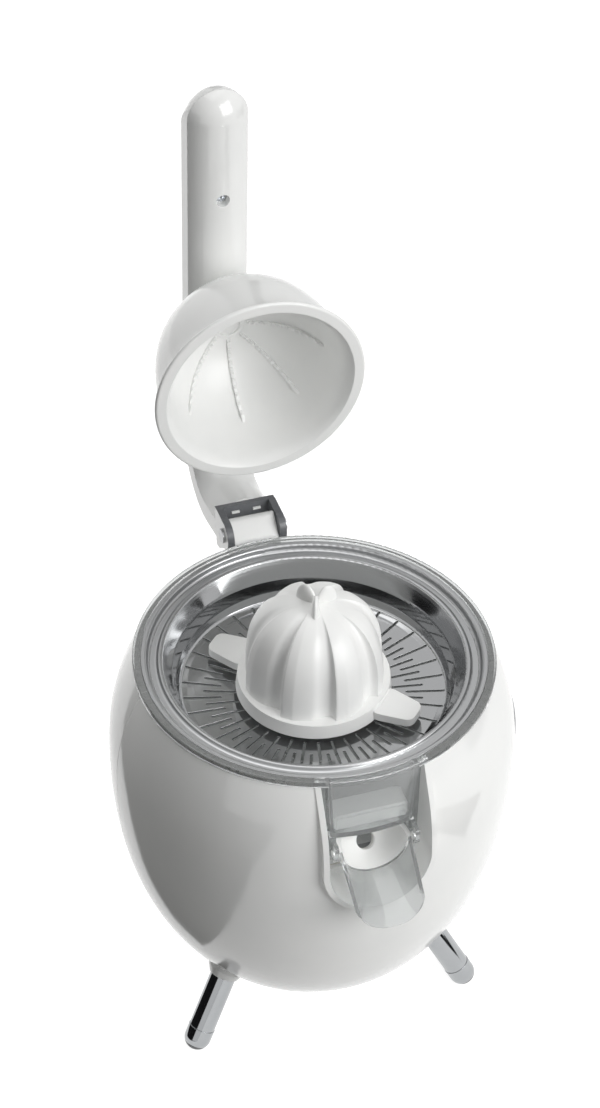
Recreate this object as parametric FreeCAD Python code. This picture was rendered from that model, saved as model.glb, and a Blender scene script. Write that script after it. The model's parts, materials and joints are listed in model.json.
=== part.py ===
import FreeCAD, Part
import math
import os

# Citrus press juicer. Millimetres, Z up, front towards -Y, origin on the body axis at table level.

# Body shells
body_r = 100.0
waist_z = 163.0
shoulder_h = 101.0
neck_h = 50.0
belly_power = 2.3
pole_z = 17.0
shell_base_z = 28.0
shell_wall = 2.6
seam_gap = 0.3
ledge_w = 9.0
ledge_h = 4.0
seat_gap = 0.1

# Spout recess and its raised surround
recess_gap = 2.8
recess_drop = 30.0
recess_set = 11.0
recess_wall = 2.0
lip_w = 2.8
lip_rise = 3.4
lip_rise_top = 0.5
lip_run = 30.0
notch_gap = 0.2

# Legs
foot_circle_r = 83.4
foot_centre_z = 5.4
foot_r = 6.9
foot_sleeve = 6.0
leg_splay = 31.5
leg_r = 6.65
leg_wall = 1.65
leg_cap = 3.0
leg_angles = {"front_left": 210.0, "front_right": 330.0, "rear": 90.0}
boss_wall = 2.95
boss_out = 4.0
boss_in = 15.0
boss_end = 2.2
plug_gap = 0.1
plug_len = 8.0

# Bottom cover
cover_t = 2.4
cover_gap = 0.3
cover_boss_r = 4.0
cover_boss_in = 4.1
cover_boss_h = 12.0
cover_boss_turn = 30.0

# Screws
screw_r = 1.5
screw_head_r = 2.9
screw_head_h = 2.0
screw_gap = 0.1

# Deck and bearing tower
deck_drop = 11.0
deck_t = 3.0
deck_gap = 0.6
deck_screw_in = 5.8
tower_r = 12.0
tower_h = 30.0
bush_r = 7.0
bush_len = 12.0
seal_t = 2.0
fit_gap = 0.05

# Juice bowl
flange_over = 1.1
bowl_flange_t = 3.0
bowl_wall = 2.0
bowl_rim_wall = 1.6
bowl_draft = 2.8
chimney_gap = 2.0
chimney_over = 4.0
seat_ring = 0.4
sieve_seat_h = 1.6
chute_h = 33.5
chute_side = 1.3
chute_flare = 2.2
chute_over = 0.2

# Spout
pivot_in = 9.0
pivot_drop = 5.5
ball_r = 18.5
ball_wall = 2.4
ball_gap = 0.3
ball_back_angle = 15.0
outlet_r = 4.6
outlet_angle = 37.0
seal_ring_r = 7.0
trunnion_r = 2.0
lug_gap = 0.6
lug_t = 2.0
lug_r = 3.6
lug_back = 9.0
trough_in = 0.3
trough_taper = 1.4
trough_len = 39.0
trough_slope = 36.0
trough_tip_d = 4.0
trough_wall = 1.8

# Sieve
sheet_t = 0.8
sieve_lip_drop = 0.8
gutter_w = 4.2
gutter_d = 3.4
sieve_wall_run = 14.9
hole_over = 2.6
floor_over = 4.2
floor_rise = 3.4
slot_count = 36
slot_w = 1.4
outer_slot_len = 19.0
inner_slot_len = 17.1

# Reamer cone
skirt_r = 38.0
skirt_draft = 0.8
skirt_rise = 5.8
skirt_h = 7.4
cone_wall = 2.2
rib_in = 2.4
rib_count = 8
rib_w = 6.0
rib_angle = 4.0
rib_steep = 0.9
flute_d = 3.8
dome_h = 46.0
dome_power = 2.5
dome_levels = 6
crown_rise = 8.7
fin_count = 3
fin_angle = 8.0
fin_r = 12.5
fin_t = 3.0
wing_angle = -45.0
wing_in = 6.0
wing_root_w = 21.0
wing_tip_w = 13.0
wing_rise = 1.0
wing_t = 4.4
hub_r = 8.0

# Drive
shaft_r = 4.0
shaft_hex = 6.8
hex_gap = 0.08
shaft_drop = 0.5
shaft_spigot = 4.0
key_rise = 7.6
key_len = 26.4
press_travel = 2.5
plunger_r = 6.0
plunger_h = 7.0
stem_r = 2.0
guide_r = 9.0
guide_len = 24.0
guide_floor = 2.0
spring_wire = 1.0
spring_r = 4.2
spring_turns = 5
switch_size = (20.0, 11.0, 13.0)
plate_drop = 34.0
plate_t = 4.0
plate_r = 48.0
plate_y = -16.0
pillar_r = 3.6
pillar_circle = 43.0
gear_module = 1.0
pressure_angle = 25.0
backlash = 0.3
output_teeth = 48
pinion_teeth = 12
wheel_teeth = 44
gear_t = 8.0
gear_gap = 1.5
axle_r = 2.5
motor_offset = 38.0
motor_r = 26.0
motor_wall = 2.0
motor_rise = 36.0
end_cap_t = 5.0
magnet_t = 5.0
air_gap = 1.2
rotor_shaft_r = 2.5
running_gap = 0.04

# Rocker switch
rocker_angle = -14.0
rocker_rise = 1.5
rocker_w = 11.0
rocker_h = 19.0
rocker_out = 2.4
rocker_tilt = 14.0
rocker_gap = 1.0
rocker_pin_r = 1.0
bezel_wall = 1.2
bezel_w = 2.4
bezel_rise = 0.6
bezel_depth = 14.0

# Cord gland
gland_angle = 62.0
gland_z = 70.0
gland_r = 6.0
gland_flange_r = 8.5
gland_bore_r = 3.4
gland_rise = 2.0

# Hinge and arm
pin_out = 8.0
pin_r = 2.5
pin_head_r = 3.8
pin_head_t = 1.2
pin_float = 0.2
hinge_screw_x = 6.0
hinge_screw_drop = 16.0
cheek_gap = 0.4
cheek_t = 3.6
cheek_over = 0.4
cheek_r = 7.5
riser_tilt = 11.0
slot_back = 10.6
stop_gap = 0.2
frame_back = 14.0
frame_top = 9.6
tab_w = 4.0
tab_t = 1.4
tab_x = 5.6
tab_up = 6.0
clevis_plug = 14.0
arm_half_w = 15.2
arm_depth = 14.0
arm_crown = 9.0
arm_corner = 4.6
arm_nose_over = 3.8
arm_nose_h = 28.5
arm_wall = 2.4
arm_rise = 1.55
arm_gap = 0.35
handle_len = 124.4
arm_bend = 24.0
arm_open = 87.2
part_gap = 0.1
low_screw_rise = 46.0
high_screw_rise = 67.0
arm_recess_r = 3.4
arm_recess_d = 4.4

# Press cup, sized in the closed position over the cone
cup_rise = 15.1
cup_play = 5.7
crown_gap = 6.6
head_room = 8.0
cup_flare = 4.0
cup_flare_run = 4.0
cup_power = 2.5
cup_wall = 1.8
liner_gap = 0.3
liner_wall = 2.0
liner_power = 2.2
liner_lip_over = 1.4
liner_lip_t = 2.6
press_rib_count = 8
press_rib_t = 1.6
press_rib_h = 1.6
press_rib_teeth = 12
press_rib_in = 3.7
press_rib_start = 2.0
apex_ring_r = 7.0
cup_boss_r = 9.0
cup_screw_r = 2.5
cup_head_r = 11.4
cup_head_t = 2.0

axis_z = FreeCAD.Vector(0, 0, 1)
origin = FreeCAD.Vector(0, 0, 0)


def at(x, y, z):
    return FreeCAD.Vector(x, y, z)


def polar(r, degrees, z):
    a = math.radians(degrees)
    return at(r * math.cos(a), r * math.sin(a), z)


def in_xz(u, v):
    return at(u, 0, v)


def in_yz(u, v):
    return at(0, u, v)


def in_xy(u, v):
    return at(u, v, 0)


def curve(points):
    """A smooth edge through the given points."""
    c = Part.BSplineCurve()
    c.interpolate(points)
    return c.toShape()


def outline(corners, place):
    """Closed wire through (u, v, radius) corners, each rounded by a tangent arc."""
    n = len(corners)
    runs = []
    for i in range(n):
        u, v, r = corners[i]
        p = place(u, v)
        if not r:
            runs.append((p, None, p))
            continue
        to_last = (place(*corners[i - 1][:2]) - p).normalize()
        to_next = (place(*corners[(i + 1) % n][:2]) - p).normalize()
        half = to_last.getAngle(to_next) / 2
        inward = (to_last + to_next).normalize()
        mid = p + inward * (r / math.sin(half) - r)
        reach = r / math.tan(half)
        runs.append((p + to_last * reach, mid, p + to_next * reach))
    edges = []
    for i in range(n):
        start, mid, end = runs[i]
        if mid:
            edges.append(Part.Arc(start, mid, end).toShape())
        following = runs[(i + 1) % n][0]
        if (following - end).Length > 1e-6:
            edges.append(Part.LineSegment(end, following).toShape())
    return Part.Wire(edges)


def turned(corners, angle=360.0):
    return Part.Face(outline(corners, in_xz)).revolve(origin, axis_z, angle)


def slab(corners, place, low, high):
    """The rounded outline as a plate between two distances along its normal."""
    face = Part.Face(outline(corners, place))
    along = {in_xz: at(0, 1, 0), in_yz: at(1, 0, 0), in_xy: axis_z}[place]
    face.translate(along * low)
    return face.extrude(along * (high - low))


def tube(r_out, r_in, base, direction, length):
    outer = Part.makeCylinder(r_out, length, base, direction)
    return outer.cut(Part.makeCylinder(r_in, length, base, direction))


def rod(r, start, end):
    return Part.makeCylinder(r, (end - start).Length, start, end - start)


def screw(head, direction, length, r=screw_r, head_r=screw_head_r, head_h=screw_head_h):
    """Pan-head screw: the head's underside is at head, the shank runs along direction."""
    top = Part.makeCylinder(head_r, head_h, head, direction * -1)
    rim = [e for e in top.Edges if e.BoundBox.Center.sub(head).Length > head_h * 0.9 and len(e.Vertexes) == 1]
    top = top.makeFillet(head_h * 0.45, rim)
    return top.fuse(Part.makeCylinder(r, length, head, direction))


def around(shape, count, start=0.0):
    return [shape.rotated(origin, axis_z, start + 360.0 * i / count) for i in range(count)]


def save(name, shape):
    solids = shape.Solids
    shape = solids[0] if len(solids) == 1 else Part.makeCompound(solids)
    shape.exportStep("parts/" + name + ".step")
    print(name, len(solids), "solid", round(shape.Volume), "mm3", shape.isValid())


# Heights and radii that follow from the sizes above

def tenth(size):
    """A size taken off a curve, to the tenth that the drawing gives."""
    return round(size, 1)


belly_h = waist_z - pole_z
shell_top_z = waist_z + neck_h
deck_z = waist_z - deck_drop
tower_top_z = deck_z + tower_h
rocker_z = waist_z + rocker_rise


def body_radius(z, inset=0.0):
    """Radius of the casing at height z: an ellipse above the waist, a superellipse below it."""
    if z >= waist_z:
        return (body_r - inset) * math.sqrt(1 - ((z - waist_z) / (shoulder_h - inset)) ** 2)
    t = (waist_z - z) / (belly_h - inset)
    return (body_r - inset) * (1 - t ** belly_power) ** (1 / belly_power)


cover_boss_circle = tenth(body_radius(shell_base_z, shell_wall) - cover_boss_in)
deck_screw_circle = tenth(body_radius(deck_z, shell_wall) - deck_screw_in)
leg_bore_r = leg_r - leg_wall
boss_r = leg_r + boss_wall

bowl_flange_r = tenth(body_radius(shell_top_z) + flange_over)
bowl_top_r = tenth(body_radius(shell_top_z, shell_wall) - seat_gap)
bowl_low_r = bowl_top_r - bowl_draft
bowl_top_z = shell_top_z + bowl_flange_t
bowl_floor_z = deck_z + deck_t + bowl_wall + seat_gap
chimney_r = tower_r + chimney_gap + bowl_wall
chimney_top_z = tower_top_z + chimney_over
sieve_seat_r = bowl_top_r + seat_ring

lug_x = ball_r + lug_gap
chute_low_half_w = lug_x + chute_side
chute_top_half_w = chute_low_half_w + chute_flare
chute_low_z = shell_top_z - chute_h
chute_r = bowl_flange_r + chute_over
pivot_y = pivot_in - body_r
pivot_z = chute_low_z - pivot_drop
trough_half_w = ball_r - trough_in
trough_tip_half_w = trough_half_w - trough_taper
recess_half_w = chute_top_half_w + recess_gap
recess_bottom_z = pivot_z - recess_drop
recess_back_y = pivot_y + recess_set

sieve_lip_z = bowl_top_z - sieve_lip_drop
gutter_out = bowl_top_r - bowl_rim_wall - 2 * sheet_t
gutter_in = gutter_out - gutter_w
sieve_hole_r = chimney_r + hole_over
floor_in = (sieve_hole_r + 1.4, chimney_top_z + floor_over)
floor_out = (gutter_in - sieve_wall_run, floor_in[1] + floor_rise)
outer_slot = (floor_out[0] + 2.5 - outer_slot_len, floor_out[0] + 2.5)
inner_slot = (skirt_r - 1.5, skirt_r - 1.5 + inner_slot_len)

key_low_z = tower_top_z + key_rise
key_top_z = key_low_z + key_len
skirt_z = key_low_z + skirt_rise
skirt_top_r = skirt_r - skirt_draft
rib_r = skirt_top_r - rib_in
crown_top_z = skirt_z + skirt_h + dome_h + crown_rise
wing_tip_r = floor_out[0] - wing_in
wing_z = skirt_z + wing_rise

plate_z = deck_z - plate_drop
shaft_low_z = plate_z - shaft_drop
guide_low_z = plate_z - guide_len
motor_low_z = shell_base_z + motor_rise
low_gear_z = plate_z + plate_t + gear_gap
high_gear_z = low_gear_z + gear_t + gear_gap

pin_y = bowl_flange_r + pin_out
pin_z = bowl_top_z
cheek_half_w = arm_half_w + cheek_over
block_half_w = cheek_half_w - cheek_t - cheek_gap

cup_rim_z = skirt_z + cup_rise
liner_r = skirt_r + cup_play
cup_r = liner_r + liner_wall + liner_gap + cup_wall
liner_depth = crown_top_z + crown_gap - cup_rim_z
cup_depth = liner_depth + head_room
liner_lip_r = cup_r + cup_flare + liner_lip_over
press_rib_span = (apex_ring_r + press_rib_start, liner_r - press_rib_in)


def cup_axis(height):
    """Point on the cup's axis with the arm raised, at a height above the rim in the closed position."""
    p = at(0, 0, cup_rim_z + height)
    turn = FreeCAD.Rotation(at(1, 0, 0), -arm_open)
    hinge = at(0, pin_y, pin_z)
    return hinge + turn.multVec(p - hinge)


arm_y = tenth(cup_axis(cup_depth).y + arm_crown + arm_gap)
arm_top_z = tenth(cup_axis(cup_depth).z + handle_len)
arm_screw_z = (pin_z + low_screw_rise, tenth(cup_axis(cup_depth).z + high_screw_rise))
arm_nose_w = arm_half_w + arm_nose_over


# Body of revolution

def body_heights(low, high):
    """Heights that crowd towards both ends, where the casing turns in fastest."""
    below = [waist_z - (waist_z - low) * math.sin(math.radians(90 * i / 7)) for i in range(7, 0, -1)]
    above = [waist_z + (high - waist_z) * i / 4 for i in range(5)]
    return below + above


def body_blank(low, high, inset=0.0, rise=None):
    """Solid inside the casing surface, moved in by inset or out by rise(z)."""
    rise = rise or (lambda z: 0.0)
    edge = [in_xz(body_radius(z, inset) + rise(z), z) for z in body_heights(low, high)]
    side = curve(edge)
    rest = Part.makePolygon([edge[-1], in_xz(0, high), in_xz(0, low), edge[0]])
    return Part.Face(Part.Wire([side] + rest.Edges)).revolve(origin, axis_z, 360)


def recess_prism(grow, near_y, far_y):
    """The U-shaped recess, grown sideways, between two Y planes and open at the top."""
    w = recess_half_w + grow
    low = recess_bottom_z - grow
    high = bowl_top_z
    corners = [(-w, high, 0), (-w, low, w * 0.98), (w, low, w * 0.98), (w, high, 0)]
    return slab(corners, in_xz, near_y, far_y)


def leg_axis(distance):
    """Point on a leg's axis in the XZ plane, measured up from the foot's centre."""
    s = math.radians(leg_splay)
    return at(foot_circle_r - math.sin(s) * distance, 0, foot_centre_z + math.cos(s) * distance)


def leg_entry():
    """Distance up the leg's axis at which it meets the casing."""
    low, high = 0.0, 90.0
    for _ in range(40):
        mid = (low + high) / 2
        p = leg_axis(mid)
        if p.z > shell_base_z and p.x < body_radius(p.z):
            high = mid
        else:
            low = mid
    return high


leg_in = leg_entry()
leg_dir = (leg_axis(1.0) - leg_axis(0.0)).normalize()


def radial_frame(shape, degrees):
    return shape.rotated(origin, axis_z, degrees)


def rocker_hole(grow):
    w = rocker_w / 2 + grow
    h = rocker_h / 2 + grow
    box = Part.makeBox(bezel_depth + 20, 2 * w, 2 * h, at(body_r - bezel_depth, -w, rocker_z - h))
    return radial_frame(box, rocker_angle)


def gland_hole(r):
    start = polar(body_radius(gland_z) - 12, gland_angle, gland_z)
    end = polar(body_radius(gland_z) + 12, gland_angle, gland_z)
    return rod(r, start, end)


def hinge_screw_seat(x):
    """Outer casing point under the hinge block, and the outward normal there."""
    z = pin_z - hinge_screw_drop
    r = body_radius(z)
    p = at(x, math.sqrt(r * r - x * x), z)
    return p, at(0, 0.93, 0.37).normalize()


def casing():
    """The whole hollow casing with its bosses and openings, before it is parted."""
    shell = body_blank(shell_base_z, shell_top_z)
    hollow = body_blank(shell_base_z - 1, shell_top_z + 1, shell_wall)
    ledge_r = body_radius(deck_z, shell_wall / 2)
    ledge = turned([
        (ledge_r - ledge_w, deck_z - ledge_h, 1.0), (ledge_r, deck_z - ledge_h - ledge_w * 0.6, 0),
        (ledge_r, deck_z, 0), (ledge_r - ledge_w, deck_z, 0),
    ])
    shell = shell.cut(hollow).fuse(ledge)
    boss = Part.makeCone(leg_r + 1.0, boss_r, boss_out, leg_axis(leg_in - boss_out), leg_dir)
    boss = boss.fuse(Part.makeCylinder(boss_r, boss_in, leg_axis(leg_in), leg_dir))
    bore = rod(leg_r + fit_gap, leg_axis(leg_in - 2 * boss_out), leg_axis(leg_in + boss_in - boss_end))
    hole = rod(screw_r + screw_gap, leg_axis(leg_in), leg_axis(leg_in + boss_in + 1))
    turns = list(leg_angles.values())
    shell = shell.fuse([boss.rotated(origin, axis_z, a) for a in turns])
    lug_z = shell_base_z + cover_t + cover_gap
    lug = Part.makeCylinder(cover_boss_r, cover_boss_h, at(cover_boss_circle, 0, lug_z))
    place = at(cover_boss_circle, -cover_boss_r / 2, lug_z)
    lug = lug.fuse(Part.makeBox(14.0, cover_boss_r, cover_boss_h, place))
    lug = lug.common(body_blank(shell_base_z, shell_top_z, shell_wall / 2))
    shell = shell.fuse(around(lug, 3, cover_boss_turn))
    cuts = [bore.fuse(hole).rotated(origin, axis_z, a) for a in turns]
    lug_hole = rod(screw_r, at(cover_boss_circle, 0, 0), at(cover_boss_circle, 0, lug_z + cover_boss_h - 0.7))
    cuts += around(lug_hole, 3, cover_boss_turn)
    deck_hole = rod(screw_r, at(deck_screw_circle, 0, deck_z - 12), at(deck_screw_circle, 0, deck_z + 1))
    cuts += around(deck_hole, 4, 45.0)
    cuts.append(recess_prism(recess_wall + notch_gap, -body_r - 20, recess_back_y + recess_wall))
    cuts.append(rocker_hole(fit_gap))
    cuts.append(gland_hole(gland_r + fit_gap))
    for x in (-hinge_screw_x, hinge_screw_x):
        p, n = hinge_screw_seat(x)
        cuts.append(rod(screw_r + screw_gap, p - n * 8, p + n * 2))
    return shell.cut(cuts)


def half_space(front):
    size = 2 * body_r
    y = -size if front else seam_gap / 2
    depth = size - seam_gap / 2 if front else size
    return Part.makeBox(2 * size, depth, bowl_top_z, at(-size, y, 0))


def front_shell(whole):
    return whole.common(half_space(True))


def rear_shell(whole):
    return whole.common(half_space(False))


def lip_height(z):
    """How far the lip stands off the casing: it grows smoothly downwards from the rim."""
    t = min(1.0, max(0.0, (shell_top_z - z) / lip_run))
    return lip_rise_top + (lip_rise - lip_rise_top) * t * t * (3 - 2 * t)


def spout_surround():
    low = recess_bottom_z - 3 * lip_w
    proud = body_blank(low, shell_top_z - seat_gap, 0.0, lip_height)
    skin = body_blank(low - 5, shell_top_z + 1, -seat_gap)
    front_y = -body_r - 20
    band = recess_prism(lip_w, front_y, recess_back_y)
    band = band.common(proud).cut(skin)
    walls = recess_prism(recess_wall, front_y, recess_back_y).common(proud)
    back = recess_prism(recess_wall, recess_back_y, recess_back_y + recess_wall)
    back = back.common(Part.makeBox(200, 200, deck_z, at(-100, -150, 0)))
    room = recess_prism(0.0, front_y, recess_back_y)
    return walls.fuse([band, back]).cut(room).removeSplitter()


def leg():
    low = leg_axis(foot_sleeve)
    top = leg_axis(leg_in + boss_in - boss_end)
    body = rod(leg_r, low, top).cut(rod(leg_bore_r, low, top - leg_dir * leg_cap))
    return body.cut(rod(screw_r, top - leg_dir * 2 * leg_cap, top + leg_dir))


def foot():
    centre = leg_axis(0.0)
    pad = Part.makeSphere(foot_r, centre).fuse(rod(foot_r, centre, leg_axis(foot_sleeve)))
    plug = rod(leg_bore_r - plug_gap, leg_axis(foot_sleeve - 1), leg_axis(foot_sleeve + plug_len))
    return pad.fuse(plug).common(Part.makeBox(200, 200, 100, at(0, -100, 0)))


def leg_screw():
    return screw(leg_axis(leg_in + boss_in), leg_dir * -1, boss_end + leg_cap)


def bottom_cover():
    r = body_radius(shell_base_z, shell_wall) - cover_gap
    z = shell_base_z
    dish = turned([(0, z, 0), (r, z, 0.8), (r, z + cover_t, 0), (0, z + cover_t, 0)])
    hole = rod(screw_r + screw_gap, at(cover_boss_circle, 0, 0), at(cover_boss_circle, 0, 2 * z))
    return dish.cut(around(hole, 3, cover_boss_turn))


def base_screws():
    one = screw(at(cover_boss_circle, 0, shell_base_z), axis_z, cover_boss_h)
    return Part.makeCompound(around(one, 3, cover_boss_turn))


def inner_deck():
    r = body_radius(deck_z, shell_wall) - deck_gap
    top = deck_z + deck_t
    shaft_hole = shaft_r + 0.6
    bush_low = tower_top_z - seal_t - bush_len
    tower = turned([
        (shaft_hole, deck_z, 0), (r, deck_z, 0), (r, top, 0), (tower_r + 0.6, top, 1.0),
        (tower_r, tower_top_z, 0.8), (bush_r + fit_gap, tower_top_z, 0),
        (bush_r + fit_gap, bush_low, 0), (shaft_hole, bush_low, 0),
    ])
    cuts = [recess_prism(recess_wall + deck_gap, -body_r - 20, recess_back_y + recess_wall + deck_gap)]
    hole_low, hole_top = at(deck_screw_circle, 0, deck_z - 1), at(deck_screw_circle, 0, top + 1)
    screw_hole = rod(screw_r + screw_gap, hole_low, hole_top)
    cuts += around(screw_hole, 4, 45.0)
    cuts += [rod(screw_r, p + at(0, 0, deck_z - 1), p + at(0, 0, top - 0.8)) for p in pillar_places()]
    idler = idler_place()
    cuts.append(rod(axle_r + fit_gap, idler + at(0, 0, deck_z - 1), idler + at(0, 0, top - 1)))
    return tower.cut(cuts)


def deck_screws():
    one = screw(at(deck_screw_circle, 0, deck_z + deck_t), axis_z * -1, 9.0)
    return Part.makeCompound(around(one, 4, 45.0))


def upper_bush():
    low = at(0, 0, tower_top_z - seal_t - bush_len)
    return tube(bush_r, shaft_r + fit_gap, low, axis_z, bush_len)


def shaft_seal():
    low = at(0, 0, tower_top_z - seal_t)
    return tube(bush_r, shaft_r + 2 * fit_gap, low, axis_z, seal_t)


# Gear train under the deck

def idler_place():
    """The idler stands where its two centre distances meet, towards +X."""
    near = gear_module * (output_teeth + pinion_teeth) / 2
    far = gear_module * (wheel_teeth + pinion_teeth) / 2
    y = -(near ** 2 - far ** 2 + motor_offset ** 2) / (2 * motor_offset)
    return at(math.sqrt(near ** 2 - y ** 2), y, 0)


def motor_place():
    return at(0, -motor_offset, 0)


def pillar_places():
    return [polar(pillar_circle, 45 + 90 * i, 0) + at(0, plate_y, 0) for i in range(4)]


def involute(base_r, r):
    t = math.sqrt(max(0.0, (r / base_r) ** 2 - 1))
    return t - math.atan(t)


def gear(teeth, low_z, turn):
    """Spur gear on the Z axis, one tooth centred on the turn angle."""
    pitch = gear_module * teeth / 2
    base = pitch * math.cos(math.radians(pressure_angle))
    tip = pitch + 0.9 * gear_module
    root = pitch - 1.25 * gear_module
    half = (math.pi * gear_module / 2 - backlash / 2) / (2 * pitch) + involute(base, pitch)
    low_r = max(base, root)
    radii = [low_r + (tip - low_r) * i / 3 for i in range(4)]
    flank = [(r, half - involute(base, r)) for r in radii]
    if root < base:
        flank = [(root, half)] + flank
    points = []
    for i in range(teeth):
        a = math.radians(turn) + 2 * math.pi * i / teeth
        points += [at(r * math.cos(a - w), r * math.sin(a - w), low_z) for r, w in flank]
        points += [at(r * math.cos(a + w), r * math.sin(a + w), low_z) for r, w in reversed(flank)]
    return Part.Face(Part.makePolygon(points + points[:1])).extrude(axis_z * gear_t)


def meshing_turn(teeth, turn, place, other_teeth, other_place):
    """Turn for the other gear that puts a gap where this gear has a tooth."""
    line = other_place - place
    phi = math.degrees(math.atan2(line.y, line.x))
    phase = (phi - turn) * teeth / 360.0
    return phi + 180.0 - (0.5 - phase) * 360.0 / other_teeth


idler_turn = meshing_turn(output_teeth, 0.0, origin, pinion_teeth, idler_place())
rotor_turn = meshing_turn(wheel_teeth, idler_turn, idler_place(), pinion_teeth, motor_place())


def hex_prism(across, low_z, high_z):
    r = across / math.sqrt(3)
    points = [polar(r, 60 * i, low_z) for i in range(6)]
    return Part.Face(Part.makePolygon(points + points[:1])).extrude(axis_z * (high_z - low_z))


def output_gear():
    hub_top = high_gear_z + gear_t
    hub = Part.makeCylinder(shaft_r + 1.8, hub_top - low_gear_z, at(0, 0, low_gear_z))
    wheel = gear(output_teeth, low_gear_z, 0.0).fuse(hub)
    foot = Part.makeCylinder(guide_r, gear_gap, at(0, 0, low_gear_z - gear_gap))
    return wheel.fuse(foot).cut(hex_prism(shaft_hex + 2 * hex_gap, low_gear_z - gear_gap, hub_top))


def idler_gear():
    pinion = gear(pinion_teeth, low_gear_z, idler_turn)
    neck_r = pinion_teeth * gear_module / 2 - 1.2
    neck = Part.makeCylinder(neck_r, gear_gap + 1, at(0, 0, low_gear_z + gear_t - 0.5))
    foot = Part.makeCylinder(axle_r + 1.5, gear_gap, at(0, 0, low_gear_z - gear_gap))
    wheel = gear(wheel_teeth, high_gear_z, idler_turn)
    solid = wheel.fuse([pinion, neck, foot])
    solid = solid.cut(rod(axle_r + running_gap, at(0, 0, plate_z), at(0, 0, deck_z)))
    return solid.translated(idler_place())


def idler_axle():
    p = idler_place()
    return rod(axle_r, p + at(0, 0, plate_z), p + at(0, 0, deck_z + deck_t - 1))


def gear_plate():
    plate = Part.makeCylinder(plate_r, plate_t, at(0, plate_y, plate_z))
    guide = rod(guide_r, at(0, 0, guide_low_z), at(0, 0, plate_z + 1))
    bore_low, bore_top = at(0, 0, guide_low_z + guide_floor), at(0, 0, plate_z + plate_t + 1)
    guide_bore = rod(plunger_r + fit_gap, bore_low, bore_top)
    stem_hole = rod(stem_r + 4 * fit_gap, at(0, 0, guide_low_z - 1), at(0, 0, plate_z))
    cuts = [guide_bore, stem_hole]
    idler = idler_place()
    cuts.append(rod(axle_r + fit_gap, idler + at(0, 0, plate_z - 1), idler + at(0, 0, plate_z + 9)))
    cuts.append(rod(pinion_teeth * gear_module / 2 + 2, motor_place() + at(0, 0, plate_z - 1),
                    motor_place() + at(0, 0, plate_z + 9)))
    for p in pillar_places() + motor_screw_places():
        cuts.append(rod(screw_r + screw_gap, p + at(0, 0, plate_z - 1), p + at(0, 0, plate_z + 9)))
    return plate.fuse(guide).cut(cuts)


def gear_pillars():
    posts = []
    for p in pillar_places():
        low = p + at(0, 0, plate_z + plate_t)
        post = tube(pillar_r, screw_r + screw_gap, low, axis_z, deck_z - plate_z - plate_t)
        posts.append(post)
    return Part.makeCompound(posts)


def pillar_screws():
    length = deck_z - plate_z + deck_t - 1.0
    return Part.makeCompound([screw(p + at(0, 0, plate_z), axis_z, length) for p in pillar_places()])


def motor_screw_places():
    return [motor_place() + at(s * 13.0, 0, 0) for s in (-1, 1)]


def motor_screws():
    top = at(0, 0, plate_z + plate_t)
    one = [screw(p + top, axis_z * -1, plate_t + motor_wall) for p in motor_screw_places()]
    return Part.makeCompound(one)


def motor_can():
    low = motor_low_z + end_cap_t
    can = rod(motor_r, at(0, 0, low), at(0, 0, plate_z))
    can = can.cut(rod(motor_r - motor_wall, at(0, 0, low - 1), at(0, 0, plate_z - motor_wall)))
    can = can.translated(motor_place())
    cuts = [rod(screw_r, p + at(0, 0, plate_z - 6), p + at(0, 0, plate_z + 1)) for p in motor_screw_places()]
    m = motor_place()
    cuts.append(rod(rotor_shaft_r + running_gap, m + at(0, 0, plate_z - 9), m + at(0, 0, plate_z + 1)))
    return can.cut(cuts)


def motor_magnets():
    r = motor_r - motor_wall - fit_gap
    low = motor_low_z + end_cap_t + 4
    high = plate_z - motor_wall - 8
    ring = tube(r, r - magnet_t, at(0, 0, low), axis_z, high - low)
    gap = Part.makeBox(12, 4 * r, high, at(-6, -2 * r, low - 1))
    return ring.cut(gap).translated(motor_place())


def motor_end_cap():
    m = motor_place()
    cap = rod(motor_r, m + at(0, 0, motor_low_z), m + at(0, 0, motor_low_z + end_cap_t))
    return cap.cut(rod(rotor_shaft_r + running_gap, m + at(0, 0, motor_low_z + 1.5), m + at(0, 0, plate_z)))


def motor_rotor():
    armature_r = motor_r - motor_wall - magnet_t - air_gap
    low = motor_low_z + end_cap_t + 6
    body = rod(armature_r, at(0, 0, low), at(0, 0, plate_z - motor_wall - 10))
    turns = [60 * i for i in range(6)]
    grooves = [rod(2.0, polar(armature_r, a, low - 1), polar(armature_r, a, plate_z)) for a in turns]
    stalk = rod(rotor_shaft_r, at(0, 0, motor_low_z + 1.5 + running_gap), at(0, 0, high_gear_z + gear_t))
    pinion = gear(pinion_teeth, high_gear_z, rotor_turn)
    return body.cut(grooves).fuse([stalk, pinion]).translated(motor_place())


def thrust_plunger():
    top = shaft_low_z + shaft_spigot
    body = rod(plunger_r, at(0, 0, shaft_low_z - plunger_h), at(0, 0, top))
    body = body.cut(rod(shaft_r - 1 + fit_gap, at(0, 0, shaft_low_z), at(0, 0, top + 1)))
    return body.fuse(rod(stem_r, at(0, 0, guide_low_z), at(0, 0, shaft_low_z - 1)))


def return_spring():
    low = guide_low_z + guide_floor + spring_wire / 2 + seat_gap
    high = shaft_low_z - plunger_h - spring_wire / 2 - seat_gap
    pitch = (high - low) / spring_turns
    helix = Part.makeHelix(pitch, high - low, spring_r)
    helix.translate(at(0, 0, low))
    circle = Part.Wire(Part.makeCircle(spring_wire / 2, at(spring_r, 0, low), at(0, 1, 0)))
    return Part.Wire(helix.Edges).makePipeShell([circle], True, True)


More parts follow.
